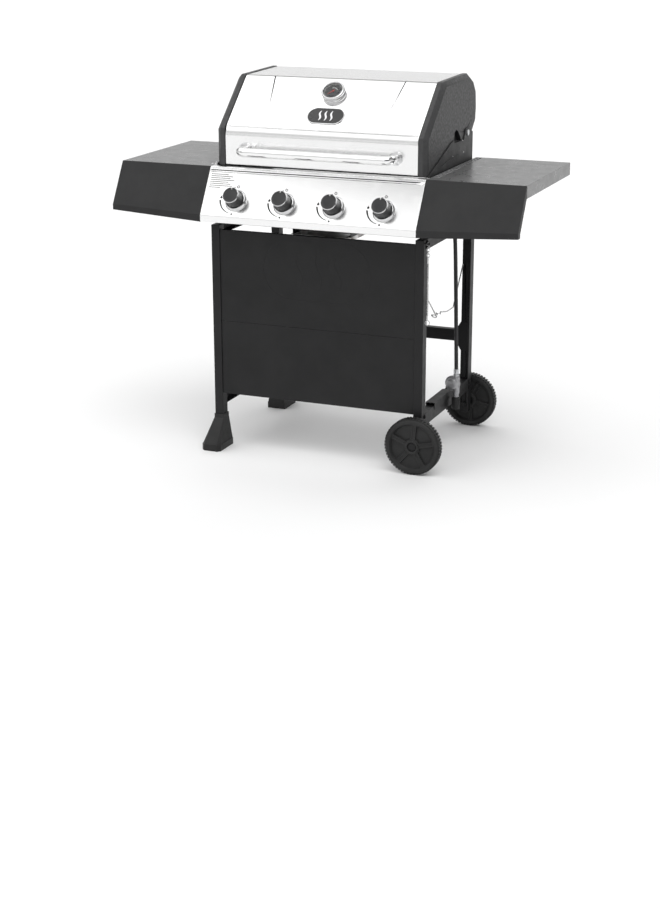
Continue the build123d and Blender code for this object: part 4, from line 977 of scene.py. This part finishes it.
def wheel(end, outward):
    """A wheel with ribbed spokes on both sides and two rows of tread blocks."""
    low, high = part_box(f"wheel_{end}")
    centre = (low + high) / 2
    radius, half = (high.z - low.z) / 2, (high.y - low.y) / 2
    place = facing(centre, (0, outward, 0))
    # radius, and how far in from the wheel's side: hub, spoked web and tyre
    side = [(BORE_R, 0.0090)]
    side += mm((12.8, 9), (13.8, 8.2), (14, 1.6), (14.6, 0.4), (16, 0), (19.6, 0), (20.6, 0.8), (21.2, 3.6))
    side += [(0.0225 + 0.0015 * i, 0.0042) for i in range(31)]
    side += mm((69.2, 3.6), (70.4, 1), (72, 0.2), (74.5, 0), (78, 0.6), (81, 2.2), (83.2, 4.2))
    side = [(r, half - inset) for r, inset in side + [(TREAD_BASE, 0.0070)]]
    back = [(r, -h) for r, h in reversed(side)]

    def relief(r, h, angle):
        sunk = spoke_relief(r, angle) if 0.0222 < r < 0.0690 else 0.0
        return r, h - sunk * (1 if h > 0 else -1)

    bm = bmesh.new()
    spin(bm, side + back, place, WHEEL_STEPS, loop=True, bend=relief)
    body = f"wheel_{end}"
    settled(mesh_piece(f"{body}_disc", bm), body, "wheel_plastic", WHEEL_PLASTIC, body)

    bm = bmesh.new()
    pitch = 2 * pi / TREAD_BLOCKS
    block, worn = rectangle(0.0066, 0.0118), rectangle(0.0054, 0.0104)
    rise = radius - TREAD_BASE
    for row in (-1, 1):
        foot = facing((TREAD_BASE - 0.0008, 0, row * 0.0069), (1, 0, 0), (0, 1, 0))
        for i in range(TREAD_BLOCKS):
            angle = pitch * (i + (0.25 if row > 0 else -0.25))
            lug = place @ Matrix.Rotation(angle, 4, "Z") @ foot
            stack(bm, lug, [(block, 0), (block, rise), (worn, rise + 0.0006)])
    settled(mesh_piece(f"{body}_tread", bm), body, "wheel_plastic", WHEEL_PLASTIC)


# ---------------------------------------------------------------- gas fittings
REGULATOR_TOP = Vector(HOSE_ROUTE[-1]) + Vector((0, ROW_Y, 0))
DISC_FROM_TOP = Vector((-0.010, -0.004, -0.042))
COVER_SCREWS = 6


def regulator():
    """The cast regulator: ferrule, upright body, round diaphragm housing and tail."""
    up = facing(REGULATOR_TOP, (0, 0, 1))
    bm = bmesh.new()
    ferrule = mm((6.2, 4), (7.8, 3), (8.2, 0), (7.8, -2), (8.4, -4), (7.8, -6), (8.4, -8), (7.8, -10),
                 (8.4, -12), (9.2, -13.5), (9.2, -19), (0, -19), (0, -1), (6.2, -1))
    spin(bm, ferrule, up, 48)
    settled(mesh_piece("hose_ferrule", bm), "cart", "die_cast", ZINC)

    bm = bmesh.new()
    body = mm((0, -17), (8.6, -17.2), (10.4, -19.5), (11, -24), (11.2, -48), (11, -70), (10.4, -74.8),
              (8.4, -77.8), (8.4, -80), (9, -80.6), (9, -85), (6, -85.6), (6, -104), (0, -104))
    spin(bm, body, up, 64)
    disc = facing(REGULATOR_TOP + DISC_FROM_TOP, (0, -1, 0))
    housing = mm((0, -16), (12, -15.8), (14.2, -14.8), (16.8, -9), (18.6, -4.4), (19.6, -3.6),
                 (23.4, -3.6), (24, -2.8), (24, 1.2), (23.4, 2), (20.5, 2.2), (19.2, 3.2), (17.8, 6.8),
                 (16, 10), (14, 11.6), (9.2, 12), (8.6, 12.8), (0, 13))
    spin(bm, housing, disc, 96)
    screw = mm((0, 1.6), (1.2, 1.5), (1.7, 0.9), (1.7, -1), (0, -1))
    for i in range(COVER_SCREWS):
        turned = disc @ Matrix.Rotation(2 * pi * (i + 0.5) / COVER_SCREWS, 4, "Z")
        spin(bm, screw, turned @ Matrix.Translation((0.0216, 0, 0.0018)), 16)
    boss = mm((0, -30), (5.8, -30), (6.8, -28.5), (7, -14), (0, -14))
    spin(bm, boss, disc, 40)
    settled(mesh_piece("regulator_casting", bm), "cart", "die_cast", DIE_CAST, "regulator")


def manifold_fitting():
    """The crimped ferrule where the hose leaves the manifold."""
    place = facing(Vector(HOSE_ROUTE[0]) + Vector((0, ROW_Y, 0)), (1, 0, 0), (0, 1, 0))
    bm = bmesh.new()
    outline = [(0.0062, 0.0), (0.0080, 0.0), (0.0080, 0.004)]
    for i in range(4):
        outline += [(0.0074, 0.0055 + 0.004 * i), (0.0080, 0.0075 + 0.004 * i)]
    spin(bm, outline + [(0.0076, 0.023), (0.0062, 0.024)], place, 48, loop=True)
    settled(mesh_piece("manifold_ferrule", bm), "cart", "zinc", ZINC)


# ---------------------------------------------------------------- wire forms
BAIL_R = 0.002
BAIL_BEND = 0.003
# sideways, back and up, against the wire's ends, the row and its lowest point
BAIL_FOLDS = [(-0.004, 0.199, 0.006), (-0.016, 0.150, 0.028), (-0.007, 0.280, 0.0), (-0.017, 0.193, 0.026),
              (-0.006, 0.288, 0.009), (0.0, 0.332, 0.013)]


def tank_wire():
    """The folded wire that keeps the gas cylinder in its place."""
    low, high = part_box("tank_wire")
    x = high.x - BAIL_R
    top, bottom = high.z - BAIL_R, low.z + BAIL_R
    corners = [(x, low.y, top), (x, low.y + 0.018, top)]
    corners += [(x + side, y + ROW_Y, bottom + up) for side, y, up in BAIL_FOLDS]
    corners += [(x, high.y - 0.014, top), (x, high.y, top)]
    line = rounded(corners, [BAIL_BEND] * (len(corners) - 2), 8)
    wire = wire_piece("cylinder_bail", [line], BAIL_R, sides=6)
    settled(wire, "tank_wire", "wire", WIRE, "tank_wire")


LINK_R = 0.0049
LINK_WIRE = 0.0008
LINK_COUNT = 6
FIRST_LINK_DOWN = 0.0016
ROD_BOTTOM_DOWN = 0.228      # from the stud to the end of the rod's shaft
COIL_TOP_DOWN = 0.058
COIL_BOTTOM_DOWN = 0.212
COIL_R = 0.0026
COIL_TURNS = 46
COIL_STEPS = 14              # in each turn


def lighting_rod():
    """A match holder: a short chain, a rod wound with wire, and its end ring."""
    x, y, z = joint("lighting_rod_swing")["pos_m"]
    pitch = 2 * (LINK_R - LINK_WIRE)

    def loop(height, across, radius):
        points = []
        for i in range(24):
            a, b = radius * cos(2 * pi * i / 24), radius * sin(2 * pi * i / 24)
            points.append((x + (a if across else 0), y + (0 if across else a), height + b))
        return points

    chain = [loop(z - FIRST_LINK_DOWN - i * pitch, i % 2 == 0, LINK_R) for i in range(LINK_COUNT)]
    end_ring = loop(z - ROD_BOTTOM_DOWN - 0.006, True, 0.007)
    top = z - FIRST_LINK_DOWN - (LINK_COUNT - 1) * pitch - LINK_R
    bottom = z - ROD_BOTTOM_DOWN
    core = [(x, y, top), (x, y, bottom + 0.004), (x, y, bottom)]
    coil = []
    for i in range(COIL_TURNS * COIL_STEPS + 1):
        angle = 2 * pi * i / COIL_STEPS
        down = COIL_TOP_DOWN + (COIL_BOTTOM_DOWN - COIL_TOP_DOWN) * i / (COIL_TURNS * COIL_STEPS)
        coil.append((x + COIL_R * cos(angle), y + COIL_R * sin(angle), z - down))
    for name, runs, radius, sides in (("chain", chain, LINK_WIRE, 4), ("end_ring", [end_ring], 0.001, 4),
                                      ("core", [core], 0.0016, 4), ("coil", [coil], 0.0007, 2)):
        wire = wire_piece("rod_" + name, runs, radius, sides, closed=name in ("chain", "end_ring"))
        settled(wire, "lighting_rod", "wire", WIRE, *(["lighting_rod"] if name == "coil" else []))


for end, outward in (("front", -1), ("rear", 1)):
    wheel(end, outward)
for make in (control_panel, panel_marks, notice, knobs, bezels, hood_skin, arch_lips, handle, thermometer,
             badge, emblem, regulator, manifold_fitting, tank_wire, lighting_rod):
    make()


# ---------------------------------------------------------------- floor, light and camera
# the tone of the studio's air at each height, from -1 straight down to 1 straight up
SKY = [(-1.0, 1.0), (-0.07, 0.95), (0.0, 0.3), (0.09, 1.0), (0.3, 0.58), (0.42, 1.0), (0.54, 1.75),
       (0.68, 1.7), (0.78, 0.12), (0.86, 1.3), (0.95, 1.3), (1.0, 1.0)]
# and what that is multiplied by, from -1 at the left to 1 at the right
SIDES = [(-1.0, 0.7), (-0.8, 0.4), (-0.6, 1.0), (0.35, 1.0), (0.55, 0.15), (0.85, 0.2), (1.0, 0.9)]
FLOOR_SIZE = 60.0


def tones(tree, direction, stops):
    """A ramp of greys over one part of a direction, from (part, tone) stops at -1 to 1."""
    share = tree.nodes.new("ShaderNodeMapRange")
    share.inputs["From Min"].default_value = -1.0
    tree.links.new(direction, share.inputs["Value"])
    ramp = tree.nodes.new("ShaderNodeValToRGB")
    ramp.color_ramp.interpolation = "EASE"
    tree.links.new(share.outputs["Result"], ramp.inputs["Fac"])
    marks = ramp.color_ramp.elements
    for mark, (_, tone) in zip(marks, (stops[0], stops[-1])):
        mark.color = full(grey(tone))
    for reach, tone in stops[1:-1]:
        marks.new((reach + 1) / 2).color = full(grey(tone))
    return ramp.outputs["Color"]


def sun(name, toward, strength, spread):
    """A broad, soft lamp that shines from a direction."""
    data = bpy.data.lights.new(name, "SUN")
    data.energy = strength
    data.angle = radians(spread)
    lamp = linked(name, data)
    lamp.rotation_euler = (-Vector(toward)).to_track_quat("-Z", "Y").to_euler()


def studio():
    """A pale floor, the air's tones for the metal to reflect, and two soft suns."""
    floor_bm = bmesh.new()
    bmesh.ops.create_grid(floor_bm, x_segments=1, y_segments=1, size=FLOOR_SIZE)
    floor = mesh_piece("floor", floor_bm)
    finish = Finish("pale_floor", 0.9, Specular_IOR_Level=0.1)
    finish.colour(finish.mix(finish.noise(0.8, 2.0), grey(0.86), grey(0.88)))
    floor.data.materials.append(finish.material)

    world = bpy.data.worlds.new("studio_air")
    bpy.context.scene.world = world
    world.use_nodes = True
    tree = world.node_tree
    where = tree.nodes.new("ShaderNodeTexCoord")
    parts = tree.nodes.new("ShaderNodeSeparateXYZ")
    tree.links.new(where.outputs["Generated"], parts.inputs[0])
    both = tree.nodes.new("ShaderNodeVectorMath")
    both.operation = "MULTIPLY"
    tree.links.new(tones(tree, parts.outputs["Z"], SKY), both.inputs[0])
    tree.links.new(tones(tree, parts.outputs["X"], SIDES), both.inputs[1])
    air = tree.nodes["Background"]
    air.inputs["Strength"].default_value = 1.0
    tree.links.new(both.outputs["Vector"], air.inputs["Color"])

    sun("key", (0.55, -0.55, 1.25), 1.1, 50.0)
    sun("fill", (-0.9, -0.1, 0.8), 0.45, 60.0)

    bpy.context.scene.view_settings.view_transform = "Standard"
    bpy.context.scene.view_settings.look = "None"


CAMERA_AIM = Vector((-0.03385, -0.02607, -0.05095))
CAMERA_TURN = radians(22.46)      # towards +X
CAMERA_RISE = radians(18.08)
CAMERA_ROLL = radians(-0.12)
CAMERA_DISTANCE = 5.62443
CAMERA_LENS = 70.0


def camera():
    data = bpy.data.cameras.new("camera")
    data.lens = CAMERA_LENS
    data.sensor_width = 36.0
    data.clip_end = 200.0
    view = linked("camera", data)
    level = cos(CAMERA_RISE)
    back = Vector((sin(CAMERA_TURN) * level, -cos(CAMERA_TURN) * level, sin(CAMERA_RISE)))
    turn = (-back).to_track_quat("-Z", "Y").to_matrix().to_4x4() @ Matrix.Rotation(CAMERA_ROLL, 4, "Z")
    view.matrix_world = Matrix.Translation(CAMERA_AIM + back * CAMERA_DISTANCE) @ turn
    bpy.context.scene.camera = view


studio()
camera()
